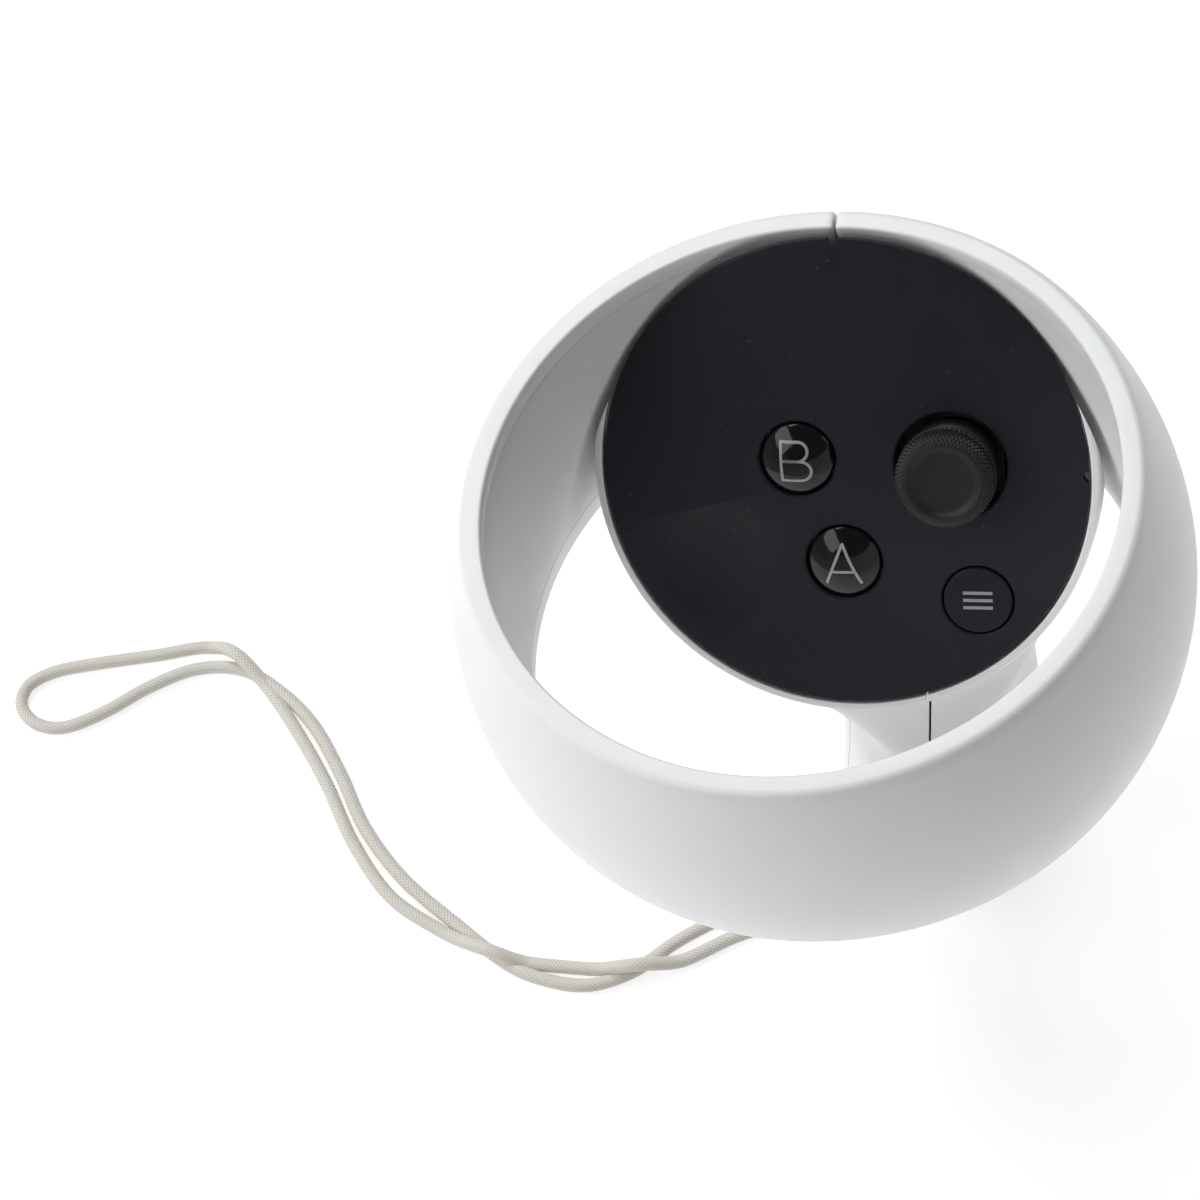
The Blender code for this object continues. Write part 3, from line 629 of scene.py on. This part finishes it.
def carved(start, steps):
    """The mesh left after a row of (operation, cutter) Booleans, in world space."""
    for operation, other in steps:
        modifier = start.modifiers.new("carve", "BOOLEAN")
        modifier.operation = operation
        modifier.object = other
        modifier.solver = "MANIFOLD"
    bpy.context.view_layer.update()
    graph = bpy.context.evaluated_depsgraph_get()
    mesh = bpy.data.meshes.new_from_object(start.evaluated_get(graph))
    mesh.transform(start.matrix_world)
    start.modifiers.clear()
    return mesh


def drop_objects(objects):
    for old in objects:
        bpy.data.objects.remove(old, do_unlink=True)


def soften(mesh, width, angle=50.0):
    """Rounds a carved mesh's sharp edges by a small bevel."""
    bm = bmesh.new()
    bm.from_mesh(mesh)
    bmesh.ops.remove_doubles(bm, verts=bm.verts, dist=0.004 * MM)
    bmesh.ops.dissolve_degenerate(bm, edges=bm.edges, dist=0.002 * MM)
    sharp = [
        edge
        for edge in bm.edges
        if len(edge.link_faces) == 2 and edge.calc_face_angle(0.0) > math.radians(angle)
    ]
    bmesh.ops.bevel(
        bm,
        geom=sharp,
        offset=width * MM,
        offset_type="OFFSET",
        segments=2,
        profile=0.5,
        affect="EDGES",
        clamp_overlap=True,
    )
    bm.to_mesh(mesh)
    bm.free()
    return mesh


def smooth_through(points, spacing):
    """A smooth curve through the points, read off at an even spacing, as an array."""
    points = np.array(points, float)
    padded = np.vstack([points[0], points, points[-1]])
    p0, p1, p2, p3 = padded[:-3], padded[1:-2], padded[2:-1], padded[3:]
    dense = []
    for i in range(len(points) - 1):
        t = (np.arange(24) / 24)[:, None]
        dense.append(
            0.5
            * (
                2 * p1[i]
                + (p2[i] - p0[i]) * t
                + (2 * p0[i] - 5 * p1[i] + 4 * p2[i] - p3[i]) * t**2
                + (3 * p1[i] - p0[i] - 3 * p2[i] + p3[i]) * t**3
            )
        )
    dense = np.vstack([*dense, points[-1:]])
    walked = np.concatenate([[0], np.cumsum(np.linalg.norm(np.diff(dense, axis=0), axis=1))])
    at = np.linspace(0, walked[-1], round(walked[-1] / spacing) + 1)
    return np.stack([np.interp(at, walked, dense[:, k]) for k in range(3)], axis=1)


# ---------------------------------------------------------------- wrist cord

BRAID_PICKS = 10
BRAID_PITCH = 0.62
BRAID_SIDES = 50
BRAID_RELIEF = 0.15
BRAID_MIDDLE_HEIGHT = 0.72


def pick_height(round_turn, along):
    """How high a braid's surface stands, 0 to 1, where two sets of strands cross."""
    right = round_turn * BRAID_PICKS + along / BRAID_PITCH
    left = round_turn * BRAID_PICKS - along / BRAID_PITCH
    i, j = np.round(right), np.round(left)
    first = 0.62 + 0.38 * np.cos(np.pi * (left + i)) - 2.2 * (right - i) ** 2
    second = 0.62 - 0.38 * np.cos(np.pi * (right + j)) - 2.2 * (left - j) ** 2
    return np.maximum(first, second)


def carried_frames(path):
    """Two directions square to a path at each of its points, with no twist between them."""
    along = np.gradient(path, axis=0)
    along /= np.linalg.norm(along, axis=1)[:, None]
    side = np.zeros_like(path)
    current = np.cross(along[0], (0.0, 0.0, 1.0))
    for i, direction in enumerate(along):
        current = current - (current @ direction) * direction
        current /= np.linalg.norm(current)
        side[i] = current
    return side, np.cross(along, side)


def make_cord(finishes):
    """A braided cord along its route: the surface rises and falls with every strand."""
    path = smooth_through(CORD_ROUTE, BRAID_PITCH / 5)
    path[:, 2] = np.maximum(path[:, 2], LOW)
    side, up = carried_frames(path)
    step = np.linalg.norm(np.diff(path, axis=0), axis=1).mean()
    count = len(path)
    along = (np.arange(count) * step)[:, None]
    share = (np.arange(BRAID_SIDES) / BRAID_SIDES)[None, :]
    height = pick_height(share, along)
    radius = CORD_D / 2 + BRAID_RELIEF * (height - BRAID_MIDDLE_HEIGHT)
    angle = TURN * share
    rows = (
        path[:, None, :]
        + (radius * np.cos(angle))[..., None] * side[:, None, :]
        + (radius * np.sin(angle))[..., None] * up[:, None, :]
    )
    points = rows.reshape(-1, 3) * MM
    index = np.arange(count * BRAID_SIDES).reshape(count, BRAID_SIDES)
    beside = np.roll(index, -1, axis=1)
    faces = np.stack([index[:-1], index[1:], beside[1:], beside[:-1]], axis=-1).reshape(-1, 4)
    mesh = bpy.data.meshes.new("wrist_cord_braid")
    ends = [index[0][::-1].tolist(), index[-1].tolist()]
    mesh.from_pydata(points.tolist(), [], faces.tolist() + ends)
    mesh.attributes.new("pick_height", "FLOAT", "POINT").data.foreach_set(
        "value", height.astype(np.float32).ravel()
    )
    bm = bmesh.new()
    bm.from_mesh(mesh)
    bmesh.ops.recalc_face_normals(bm, faces=bm.faces)
    bm.to_mesh(mesh)
    bm.free()
    cord = finish_piece(
        "wrist_cord_braid", mesh, finishes["cord_braid"], "housing",
        ("wrist_cord",), sharp=80.0,
    )


# ---------------------------------------------------------------- tracking ring


def band_outer(drop):
    """Outer radius of the ring at a distance below its rim."""
    if drop < BULGE_DROP:
        share = (BULGE_DROP - drop) / BULGE_DROP
        return BAND_R - (BAND_R - RIM_OUTER_R + 0.5) * share**2
    share = (drop - BULGE_DROP) / (BAND_HEIGHT - BULGE_DROP)
    return BAND_R - (BAND_R - LOWER_OUTER_R + 0.6) * share**2


def band_inner(drop):
    """Inner radius of the ring: a shallow barrel between the two lips."""
    share = drop / BAND_HEIGHT
    straight = RIM_INNER_R + (LOWER_INNER_R - RIM_INNER_R) * share
    return straight + 2.6 * share * (1.0 - share)


def spread(first, last, count):
    return [first + (last - first) * k / (count - 1) for k in range(count)]


def inset_outline(points, depth):
    """A closed flat outline moved inwards by a depth, corner by corner."""
    flat = np.array([(p[0], p[1]) for p in points])
    edge = np.roll(flat, -1, axis=0) - flat
    area = np.sum(flat[:, 0] * np.roll(flat[:, 1], -1) - np.roll(flat[:, 0], -1) * flat[:, 1])
    inward = np.stack([-edge[:, 1], edge[:, 0]], axis=1) * np.sign(area)
    inward /= np.maximum(np.linalg.norm(inward, axis=1), 1e-9)[:, None]
    corner = inward + np.roll(inward, 1, axis=0)
    corner /= np.maximum(np.linalg.norm(corner, axis=1), 0.5)[:, None]
    return flat + corner * depth


def turned_piece(outline, start, end, steps, radius_edge):
    """A closed (r, z) outline swept round the ring's axis, with its two ends' edges rounded."""
    bm = bmesh.new()
    middle = sum(p[0] for p in outline) / len(outline)
    sections = []
    rounding = ((0.0, 1.0), (0.29, 0.29), (1.0, 0.0))
    for share, depth in rounding:
        sections.append((start + share * radius_edge / middle, depth * radius_edge))
    for k in range(1, steps):
        sections.append((start + (end - start) * k / steps, 0.0))
    for share, depth in reversed(rounding):
        sections.append((end - share * radius_edge / middle, depth * radius_edge))
    rings = []
    for angle, depth in sections:
        c, s = math.cos(angle), math.sin(angle)
        rings.append([bm.verts.new((r * c, r * s, z)) for r, z in inset_outline(outline, depth)])
    bridge(bm, rings)
    bm.faces.new(rings[0])
    bm.faces.new(rings[-1])
    return bm


def make_ring(finishes):
    """The ring's outer cover with both lips, and the liner that closes it inside."""
    half_seam = RING_SEAM / 2 / RIM_INNER_R
    start = math.pi / 2 + half_seam
    end = math.pi / 2 + TURN - half_seam
    deep = BAND_HEIGHT
    lip = [(band_inner(RING_LIP), -RING_LIP), (RIM_INNER_R, -0.9)]
    rim = [(RIM_INNER_R + 0.1, 0.0), (RIM_OUTER_R - 0.7, 0.0)]
    outside = [(band_outer(drop), -drop) for drop in spread(1.4, deep - 1.8, 34)]
    foot = [(LOWER_OUTER_R - 1.7, -deep), (LOWER_INNER_R + 0.2, -deep)]
    back = [(band_inner(deep - RING_LIP), -deep + RING_LIP)]
    inside = [
        (band_outer(drop) - RING_WALL, -drop)
        for drop in spread(deep - RING_LIP, RING_LIP, 14)
    ]
    corners = lip + rim + outside + foot + back + inside
    radii = [0.05, 0.6] + [1.1, 1.7] + [0.9] + [0.0] * 32 + [1.6] + [1.6, 0.6] + [0.05] + [0.0] * 14
    outline = [(r, RING_HIGH + z) for r, z in rounded(corners, radii, 6, closed=True)]
    shell = turned_piece(outline, start, end, RING_STEPS, 0.35)
    add_piece(
        "ring_outer_cover", shell, finishes["white_shell"], "housing",
        ("ring_outer_shell",),
    )

    drops = spread(RING_LIP + LINER_SEAM, deep - RING_LIP - LINER_SEAM, 16)
    face = [(band_inner(drop), RING_HIGH - drop) for drop in drops]
    rear = [(band_inner(drop) + LINER_THICK, RING_HIGH - drop) for drop in reversed(drops)]
    ends = [0.05] + [0.0] * 14 + [0.05]
    section = rounded(face + rear, ends + ends, 3, closed=True)
    liner = turned_piece(section, start, end, RING_STEPS, 0.3)
    add_piece(
        "ring_inner_cover", liner, finishes["ring_inner"], "housing",
        ("ring_inner_shell",),
    )


# ---------------------------------------------------------------- housing


def face_matrix():
    """The face plate's own frame: its top lies at z = 0."""
    return Matrix.Translation(Vector(FACE_CENTRE) * MM) @ Matrix.Rotation(FACE_TILT, 4, "X")


def handle_matrix():
    """The handle's own frame, with z along the handle."""
    up = Vector(HANDLE_UP).normalized()
    across = Vector((1, 0, 0))
    across = (across - across.dot(up) * up).normalized()
    axes = Matrix((across, up.cross(across), up)).transposed().to_4x4()
    return Matrix.Translation(Vector(HANDLE_CENTRE) * MM) @ axes


def under_face(depth):
    """The point at a depth under the middle of the face plate's top."""
    c, s = math.cos(FACE_TILT), math.sin(FACE_TILT)
    return FACE_CENTRE[0], FACE_CENTRE[1] + depth * s, FACE_CENTRE[2] - depth * c


def eased(stations, per_span):
    """More stations on a smooth curve through these, one that never overshoots them."""
    rows = np.array(stations, float)
    at = np.concatenate([[0], np.cumsum(np.linalg.norm(np.diff(rows[:, :3], axis=0), axis=1))])
    slope = np.diff(rows, axis=0) / np.diff(at)[:, None]
    tangent = np.zeros_like(rows)
    both = slope[:-1] * slope[1:]
    total = slope[:-1] + slope[1:]
    safe = np.where(np.abs(total) < 1e-9, 1.0, total)
    tangent[1:-1] = np.where(both > 0, 2 * both / safe, 0.0)
    tangent[0], tangent[-1] = slope[0], slope[-1]
    made = [rows[0]]
    for i in range(len(rows) - 1):
        span = at[i + 1] - at[i]
        for k in range(1, per_span + 1):
            t = k / per_span
            made.append(
                (2 * t**3 - 3 * t**2 + 1) * rows[i]
                + (t**3 - 2 * t**2 + t) * span * tangent[i]
                + (3 * t**2 - 2 * t**3) * rows[i + 1]
                + (t**3 - t**2) * span * tangent[i + 1]
            )
    return made


def loft(stations, steps):
    """A solid through ellipses: each stands at its centre, tilted about x."""
    bm = bmesh.new()
    rings = []
    for x, y, z, tilt, wide, deep in stations:
        c, s = math.cos(math.radians(tilt)), math.sin(math.radians(tilt))
        ring = []
        for k in range(steps):
            angle = TURN * k / steps
            across, along = wide * math.cos(angle), deep * math.sin(angle)
            ring.append(bm.verts.new((x + across, y + along * c, z + along * s)))
        rings.append(ring)
    bridge(bm, rings)
    bm.faces.new(rings[0])
    bm.faces.new(rings[-1])
    return bm


def housing_solid(inset, collar, bottom=None):
    """The housing's outer form, or its cavity when it is inset and ends at its own bottom."""
    tilt = math.degrees(FACE_TILT)
    top = [(*under_face(depth), tilt, radius, radius) for depth, radius in collar]
    below = [
        (x, y, z, turn, wide - inset, deep - inset) for x, y, z, turn, wide, deep in STATIONS[:-2]
    ]
    if bottom:
        x, y, _, turn, wide, deep = below[-1]
        below.append((x, y, bottom, 0.0, wide, deep))
        ends = []
    else:
        ends = list(STATIONS[-2:])
    return loft(top[:-1] + eased([top[-1], *below], 5) + ends, 144)


def clip_solid(radius):
    """What lies inside the ring's bore, and everything below the ring."""
    low = RING_LOW - 0.8
    top = FRONT_LIP_Z
    profile = [(0, -20), (70, -20), (70, low - 0.6), (radius, low), (radius, top), (0, top)]
    return lathe(profile, 288)


def housing_blank():
    """The whole hollow housing before it is cut into its covers, as a hidden object."""
    face = face_matrix()
    collar = (
        (0.0, COLLAR_R - 0.6), (0.18, COLLAR_R - 0.18), (0.6, COLLAR_R), (COLLAR_DEPTH, COLLAR_R)
    )
    ledge = ((FACE_THICK, LEDGE_R), (COLLAR_DEPTH, LEDGE_R))
    blank = cutter(housing_solid(0.0, collar))
    cavity = cutter(housing_solid(WALL, ledge, WALL + 0.2))
    recess = cutter(extruded(circle(RECESS_R, 192), -RECESS_DEPTH, 6.0), face)
    head, inner_head = cutter(clip_solid(HEAD_R)), cutter(clip_solid(HEAD_INNER_R))
    cavity.data = carved(cavity, [("INTERSECT", inner_head)])
    blank.data = carved(
        blank, [("INTERSECT", head), ("DIFFERENCE", recess), ("DIFFERENCE", cavity)]
    )
    drop_objects([cavity, recess, head, inner_head])
    return blank


def make_housing(finishes):
    """Two shells that meet along the handle, the battery's cover and the grip paddle."""
    handle = handle_matrix()
    blank = housing_blank()
    # Distances past everything that a cutter has to reach.
    far, outside, below, above = 90, 40, -60, 130
    grip_back, grip_front = GRIP_Y
    grip_low, grip_high = GRIP_Z
    slot_back, slot_front = TRIGGER_SLOT_Y
    slot_low, slot_high = TRIGGER_SLOT_Z
    play = GRIP_PLAY
    wide = CORD_SPREAD + 1.5
    cord_turn = Matrix.Rotation(math.atan2(CORD_OUT[1], CORD_OUT[0]), 4, "Z")
    cuts = {
        "right": (((SPLIT + GAP / 2, -far, below), (far, far, above)), handle),
        "left": (((-far, -far, below), (SPLIT - GAP / 2, far, above)), handle),
        "door": (((DOOR_X, -DOOR_HALF_Y, below), (outside, DOOR_HALF_Y, DOOR_TOP)), handle),
        "door_hole": (
            (
                (DOOR_X - GAP, -DOOR_HALF_Y - GAP, below),
                (outside, DOOR_HALF_Y + GAP, DOOR_TOP + GAP),
            ),
            handle,
        ),
        "grip": (((-outside, grip_back, grip_low), (GRIP_X, grip_front, grip_high)), handle),
        "grip_hole": (
            (
                (-outside, grip_back - play, grip_low - play),
                (GRIP_X + play, grip_front + play, grip_high + play),
            ),
            handle,
        ),
        "trigger_hole": (
            (
                (TRIGGER_X - TRIGGER_SLOT_HALF, slot_back, slot_low),
                (TRIGGER_X + TRIGGER_SLOT_HALF, slot_front, slot_high),
            ),
            None,
        ),
        "cord_slot": (
            ((-4, -wide, -1.4), (4, wide, 1.4)),
            Matrix.Translation(Vector(CORD_EXIT) * MM) @ cord_turn,
        ),
        "ground": (((-60, -60, -20), (60, 60, 0.5)), None),
    }
    cutters = {name: cutter(block(*corners), matrix) for name, (corners, matrix) in cuts.items()}
    for k, low in enumerate(BARREL_LOWS):
        barrel = extruded(circle(BARREL_R, 40, GRIP_PIN), low, low + BARREL_LENGTH)
        cutters[f"barrel_{k}"] = cutter(barrel, handle)
    cutters["pin_bore"] = cutter(extruded(circle(PIN_BORE_R, 32, GRIP_PIN), -3.0, 22.0), handle)

    keep, cut, join = "INTERSECT", "DIFFERENCE", "UNION"
    pieces = (
        (
            "right_cover", "housing", "right_shell",
            ((keep, "right"), (cut, "trigger_hole"), (cut, "door_hole")),
        ),
        (
            "left_cover", "housing", "left_shell",
            ((keep, "left"), (cut, "trigger_hole"), (cut, "grip_hole"), (cut, "cord_slot")),
        ),
        ("battery_cover", "battery_door", "battery_door", ((keep, "door"), (cut, "ground"))),
        (
            "grip_paddle", "grip_button", "grip_button",
            ((keep, "grip"), (join, "barrel_0"), (join, "barrel_1"), (cut, "pin_bore")),
        ),
    )
    for name, body, node, steps in pieces:
        mesh = carved(blank, [(operation, cutters[other]) for operation, other in steps])
        finish_piece(
            name, soften(mesh, SHELL_EDGE), finishes["white_shell"], body,
            (node,), sharp=38.0,
        )
    drop_objects([blank, *cutters.values()])


# ---------------------------------------------------------------- controls on the face


def make_face_plate(finishes):
    """A turned disc with a rounded edge, holes, two notches and a sunk rest for the thumb."""
    face = face_matrix()
    edge = [
        (0, 0), (FACE_R, 0), (FACE_R, -FACE_SIDE), (FACE_R - FACE_UNDERCUT, -FACE_THICK),
        (0, -FACE_THICK),
    ]
    disc = cutter(lathe(rounded(edge, [0, 0.35, 0.3, 0.3, 0], 4), FACE_STEPS), face)
    holes = (
        (BUTTON_A, BUTTON_R + HOLE_PLAY), (BUTTON_B, BUTTON_R + HOLE_PLAY),
        (BUTTON_HOME, HOME_R + HOLE_PLAY), (STICK, STICK_HOLE_R),
    )
    cutters = []
    for place, radius in holes:
        wide = radius + HOLE_CHAMFER
        profile = [(0, -5), (radius, -5), (radius, -0.25), (wide, 0.05), (wide, 1), (0, 1)]
        cutters.append(cutter(lathe(profile, 128, place), face))
    rest = [
        (0, -REST_DEPTH), (THUMB_REST_R - 0.25, -REST_DEPTH), (THUMB_REST_R, 0.0),
        (THUMB_REST_R, 1), (0, 1),
    ]
    cutters.append(cutter(lathe(rest, 160, THUMB_REST), face))
    for place in ((FACE_R, 0.0), (0.0, FACE_R)):
        cutters.append(cutter(extruded(circle(NOTCH_R, 24, place), -5, 2), face))
    mesh = carved(disc, [("DIFFERENCE", other) for other in cutters])
    mesh.transform(face.inverted())
    finish_piece(
        "face_disc", mesh, finishes["face_black"], "housing", ("face_plate",),
        face, 30.0,
    )
    drop_objects([disc, *cutters])


def button_foot(radius, flange, stem):
    """A button's hidden part: the flange that holds it in, and the stem on its switch."""
    return [
        (radius, FLANGE_TOP), (radius + flange, FLANGE_TOP), (radius + flange, FLANGE_LOW),
        (stem, FLANGE_LOW), (stem, STEM_LOW), (0, STEM_LOW),
    ]


def dome_height(away):
    """Height of a round button's dome above the plate, at a distance from its middle."""
    return DOME_TOP - DOME_FALL * (away / DOME_REACH) ** 2.2


def dome_profile():
    top = [(away, dome_height(away)) for away in spread(0.0, 4.45, 24)]
    return [*top, (BUTTON_R, -0.4), *button_foot(BUTTON_R, 0.9, 2.0)]


def stroke(bm, points, width, height_at):
    """A thin raised line along flat points, which follows the surface under it."""
    points = np.array(points, float)
    gone = np.concatenate([[0], np.cumsum(np.linalg.norm(np.diff(points, axis=0), axis=1))])
    at = np.linspace(0, gone[-1], max(3, int(gone[-1] / 0.15)))
    line = np.stack([np.interp(at, gone, points[:, k]) for k in range(2)], axis=1)
    along = np.gradient(line, axis=0)
    along /= np.linalg.norm(along, axis=1)[:, None]
    out = np.stack([-along[:, 1], along[:, 0]], axis=1) * width / 2
    rings = []
    for middle, side in zip(line, out):
        left, right = middle + side, middle - side
        ring = []
        for place, rise in ((left, -0.15), (left, 1), (middle, 1), (right, 1), (right, -0.15)):
            z = height_at(place) + INK_THICK * rise
            ring.append(bm.verts.new((place[0], place[1], z)))
        rings.append(ring)
    bridge(bm, rings)
    bm.faces.new(rings[0])
    bm.faces.new(rings[-1])


def letter_a():
    """The strokes of a letter A, each as flat points."""
    return (
        [(-2.3, -2.75), (0.0, 2.75), (2.3, -2.75)],
        [(-1.65, -0.95), (1.65, -0.95)],
    )


def bowl(x, low, high, reach):
    """The rounded right-hand part of a letter B, from the stem and back to it."""
    radius = (high - low) / 2
    middle = (high + low) / 2
    arc = [
        (reach - radius + radius * math.cos(t), middle + radius * math.sin(t))
        for t in spread(math.pi / 2, -math.pi / 2, 13)
    ]
    return [(x, high), *arc, (x, low)]


def letter_b():
    """The strokes of a letter B, each as flat points."""
    stem = -1.9
    upper, lower = bowl(stem, 0.1, 2.6, 1.55), bowl(stem, -2.6, 0.1, 1.95)
    return ([(stem, -2.775), (stem, 2.775)], upper, lower)


def make_buttons(finishes):
    face = face_matrix()
    for label, node, place, strokes in (
        ("a", "button_a", BUTTON_A, letter_a()), ("b", "button_b", BUTTON_B, letter_b())
    ):
        matrix = face @ Matrix.Translation(Vector((*place, 0)) * MM)
        dome = lathe(dome_profile(), 128)
        add_piece(
            f"round_button_{label}", dome, finishes["button_gloss"], node,
            (node,), matrix,
        )
        ink = bmesh.new()
        for points in strokes:
            stroke(ink, points, LETTER_WIDTH, lambda p: dome_height(math.hypot(p[0], p[1])))
        add_piece(
            f"letter_{label}", ink, finishes["letter_ink"], node, (), matrix
        )

    matrix = face @ Matrix.Translation(Vector((*BUTTON_HOME, 0)) * MM)
    corners = [(0, HOME_TOP), (HOME_R, HOME_TOP), *button_foot(HOME_R, 0.8, 1.6)]
    profile = rounded(corners, [0, 0.3, 0, 0, 0, 0, 0, 0], 4)
    add_piece(
        "home_cap", lathe(profile, 128), finishes["home_black"], "home_button",
        ("home_button",), matrix,
    )
    ink = bmesh.new()
    for y in (1.0, 0.0, -1.0):
        stroke(ink, [(-BAR_HALF, y), (BAR_HALF, y)], BAR_WIDTH, lambda p: HOME_TOP)
    add_piece("home_bars", ink, finishes["letter_ink"], "home_button", (), matrix)


def knurl(radius, z, angle):
    """Diamond knurling over the cap's shoulder and side."""
    fade = min((radius - KNURL_INNER_R) / KNURL_FADE, (z - KNURL_LOW) / KNURL_FADE, 1.0)
    if fade <= 0.0:
        return 0.0
    slope = (z - radius) / KNURL_PITCH
    first = abs(math.sin(KNURL_LINES / 2 * angle + math.pi * slope / 2))
    second = abs(math.sin(KNURL_LINES / 2 * angle - math.pi * slope / 2))
    return -KNURL_DEPTH * fade * (1.0 - min(first, second))


def make_thumbstick(finishes):
    """A dished, knurled cap, and under it the dome that closes the plate's hole."""
    matrix = face_matrix() @ Matrix.Translation(Vector((*STICK, 0)) * MM)
    dish = [(0, 5.57), (2.5, 5.59), (4.05, 5.71), (4.5, 6.11), (4.8, 6.2), (5.1, 6.14)]
    top = rounded(dish, [0, 0.5, 0.3, 0.15, 0.1, 0], 5)
    shoulder = [
        (
            SHOULDER_R + (CAP_R - SHOULDER_R) * math.sin(turn),
            SHOULDER_Z + SHOULDER_RISE * math.cos(turn),
        )
        for turn in spread(0.08, math.pi / 2, 18)
    ]
    side = [(CAP_R, z) for z in spread(4.87, 3.25, 22)]
    under = [(5.7, 3.0), (1.85, 3.0), (1.85, 3.85), (0, 3.85)]
    cap = lathe([*top, *shoulder, *side, *under], 8 * KNURL_LINES, radius_at=knurl)
    add_piece(
        "stick_cap", cap, finishes["stick_rubber"], "stick_top",
        ("thumbstick_cap",), matrix,
    )

    skirt = (
        (1.9, 2.7), (2.6, 2.7), (4.2, 1.4), (5.6, -0.1), (6.1, -1.4), (5.6, -1.4), (5.0, -0.4),
        (3.8, 0.8), (1.9, 2.0),
    )
    section = rounded(skirt, 0.5, 4, closed=True)
    bm = bmesh.new()
    rings = []
    for k in range(SKIRT_STEPS):
        c, s = math.cos(TURN * k / SKIRT_STEPS), math.sin(TURN * k / SKIRT_STEPS)
        rings.append([bm.verts.new((r * c, r * s, z)) for r, z in section])
    bridge(bm, rings, closed_along=True)
    add_piece(
        "stick_dome", bm, finishes["stick_rubber"], "stick_top", ("stick_skirt",),
        matrix,
    )


# ---------------------------------------------------------------- trigger


def make_trigger(finishes):
    """A curved lever: its outline in y and z, smaller towards its two rounded sides."""
    outline = rounded(TRIGGER_OUTLINE, 1.6, 5, closed=True)
    # From each flat side inwards the outline starts small and grows to its full size.
    left = []
    for turn in spread(0.0, math.pi / 2, 7):
        x = -TRIGGER_HALF + TRIGGER_EDGE * (1 - math.cos(turn))
        left.append((x, TRIGGER_EDGE * (1 - math.sin(turn))))
    right = [(-x, depth) for x, depth in reversed(left)]
    bm = bmesh.new()
    rings = []
    for x, depth in left + right:
        ring = inset_outline(outline, depth)
        rings.append([bm.verts.new((TRIGGER_X + x, y, z)) for y, z in ring])
    bridge(bm, rings)
    bm.faces.new(rings[0])
    bm.faces.new(rings[-1])
    blank = cutter(bm)
    y, z = TRIGGER_PIVOT
    pivot = Matrix.Translation(Vector((TRIGGER_X, y, z)) * MM)
    across = pivot @ Matrix.Rotation(math.pi / 2, 4, "Y")
    pin_bore = cutter(extruded(circle(TRIGGER_BORE_R, 40), -20, 20), across)
    half = SPRING_NOTCH_HALF
    notch = cutter(block((TRIGGER_X - half, 20.0, z - 3.0), (TRIGGER_X + half, y + 3.0, z + 10.0)))
    mesh = carved(blank, [("DIFFERENCE", pin_bore), ("DIFFERENCE", notch)])
    finish_piece(
        "trigger_lever", mesh, finishes["white_shell"], "trigger", ("trigger",)
    )
    drop_objects([blank, pin_bore, notch])


# ---------------------------------------------------------------- the rest of the frame


def dress_nodes(finishes):
    """Gives each of the frame's own nodes the finish of its material slot."""
    for row in frame["record"]["subparts"]:
        node = frame["nodes"][row["node"]]
        slot = row["material_slot"]
        node.data.materials.clear()
        node.data.materials.append(finishes[slot])


def main():
    make_camera()
    make_studio()
    finishes = make_materials()
    make_cord(finishes)
    make_ring(finishes)
    make_housing(finishes)
    make_face_plate(finishes)
    make_buttons(finishes)
    make_thumbstick(finishes)
    make_trigger(finishes)
    dress_nodes(finishes)


main()
